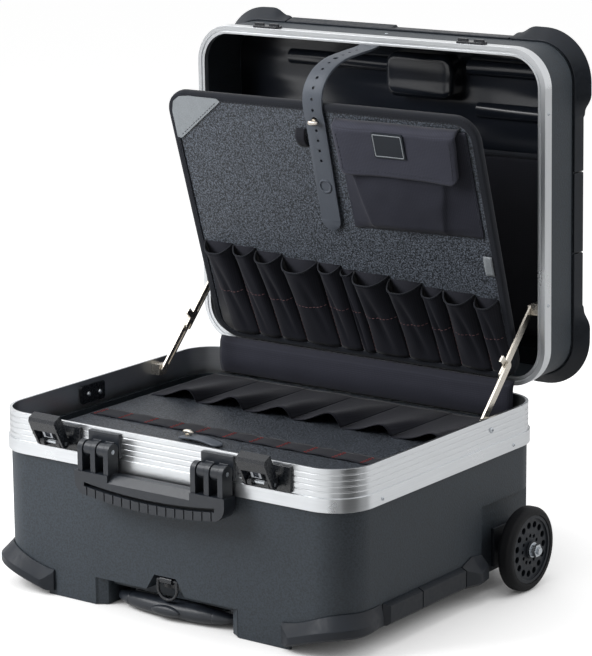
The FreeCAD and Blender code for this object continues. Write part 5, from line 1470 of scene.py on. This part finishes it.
class TOOLCASE_OT_fasteners(bpy.types.Operator):
    """Screws, rivets and the bracket inside the base frame"""
    bl_idname = "toolcase.fasteners"
    bl_label = "Fasteners"

    def execute(self, context):
        flange_x = 242.0
        band_x = 240.0
        flange_z = 162.0
        stay_y = 82.0
        stay_z = 188.0
        lid_z = 210.0
        rivets = []
        stay_rivets = []
        screws = []
        for side in (-1, 1):
            out = RIGHT * side
            rivets += [(Vector((side * flange_x, y, flange_z)), out) for y in (125.0, -130.0)]
            stay_rivets.append((Vector((side * band_x, stay_y, stay_z)), out))
            screws += [(in_lid(side * band_x, y, lid_z), out) for y in (-120.0, 95.0)]
        front = (in_lid(0, 0, 0) - in_lid(0, 1, 0)).normalized()
        screws.append((in_lid(6.0, -189.5, 240.0), front))
        add_screws("frame_rivets", rivets, 2.2, "base")
        add_screws("stay_rivets", stay_rivets, 3.4, "base")
        add_screws("lid_frame_screws", screws, 2.0, "lid")
        self.add_bracket()
        return {"FINISHED"}

    def add_bracket(self):
        """Black bracket plate with two screws on the inside of the left band."""
        wall_x = -236.4
        face_x = -234.1
        outline = rounded_outline(-26.0, 21.0, 175.0, 196.0, 3.0, 4)
        low = [Vector((wall_x, row[0], row[1])) for row in outline]
        high = [Vector((face_x, row[0], row[1])) for row in outline]
        add_slab("inner_bracket_plate", low, high, "black_enamel", body="base", slot="latch_enamel")
        places = [(Vector((-234.0, -34.0, 185.0)), RIGHT), (Vector((-234.0, -14.0, 184.0)), RIGHT)]
        add_screws("inner_bracket_screws", places, 3.2, "base")


class TOOLCASE_PT_panel(bpy.types.Panel):
    """Sidebar panel with the case's settings and pieces"""
    bl_label = "Tool case"
    bl_idname = "TOOLCASE_PT_panel"
    bl_space_type = "VIEW_3D"
    bl_region_type = "UI"
    bl_category = "Tool case"

    def draw(self, context):
        layout = self.layout
        for group in (context.scene.tool_case_colours, context.scene.tool_case_sizes):
            box = layout.box()
            for name in group.__annotations__:
                box.prop(group, name)
        for operator in OPERATORS:
            layout.operator(operator.bl_idname)


GROUPS = (ToolCaseColours, ToolCaseSizes)
OPERATORS = (
    TOOLCASE_OT_stage,
    TOOLCASE_OT_shells,
    TOOLCASE_OT_frames,
    TOOLCASE_OT_hardware,
    TOOLCASE_OT_wheels,
    TOOLCASE_OT_trolley,
    TOOLCASE_OT_lid_lining,
    TOOLCASE_OT_tool_panel,
    TOOLCASE_OT_panel_pockets,
    TOOLCASE_OT_flap_pocket,
    TOOLCASE_OT_strap,
    TOOLCASE_OT_hinge_cover,
    TOOLCASE_OT_pallet,
    TOOLCASE_OT_fasteners,
)
CLASSES = GROUPS + OPERATORS + (TOOLCASE_PT_panel,)


def register():
    """Registers the classes and the settings."""
    for kind in CLASSES:
        bpy.utils.register_class(kind)
    bpy.types.Scene.tool_case_colours = bpy.props.PointerProperty(type=ToolCaseColours)
    bpy.types.Scene.tool_case_sizes = bpy.props.PointerProperty(type=ToolCaseSizes)


def unregister():
    """Takes the settings and the classes away."""
    del bpy.types.Scene.tool_case_sizes
    del bpy.types.Scene.tool_case_colours
    for kind in reversed(CLASSES):
        bpy.utils.unregister_class(kind)


def main():
    """Makes every piece."""
    register()
    bpy.ops.toolcase.stage()
    bpy.ops.toolcase.shells()
    bpy.ops.toolcase.frames()
    bpy.ops.toolcase.hardware()
    bpy.ops.toolcase.wheels()
    bpy.ops.toolcase.trolley()
    bpy.ops.toolcase.lid_lining()
    bpy.ops.toolcase.tool_panel()
    bpy.ops.toolcase.panel_pockets()
    bpy.ops.toolcase.flap_pocket()
    bpy.ops.toolcase.strap()
    bpy.ops.toolcase.hinge_cover()
    bpy.ops.toolcase.pallet()
    bpy.ops.toolcase.fasteners()


if __name__ == "__main__":
    main()
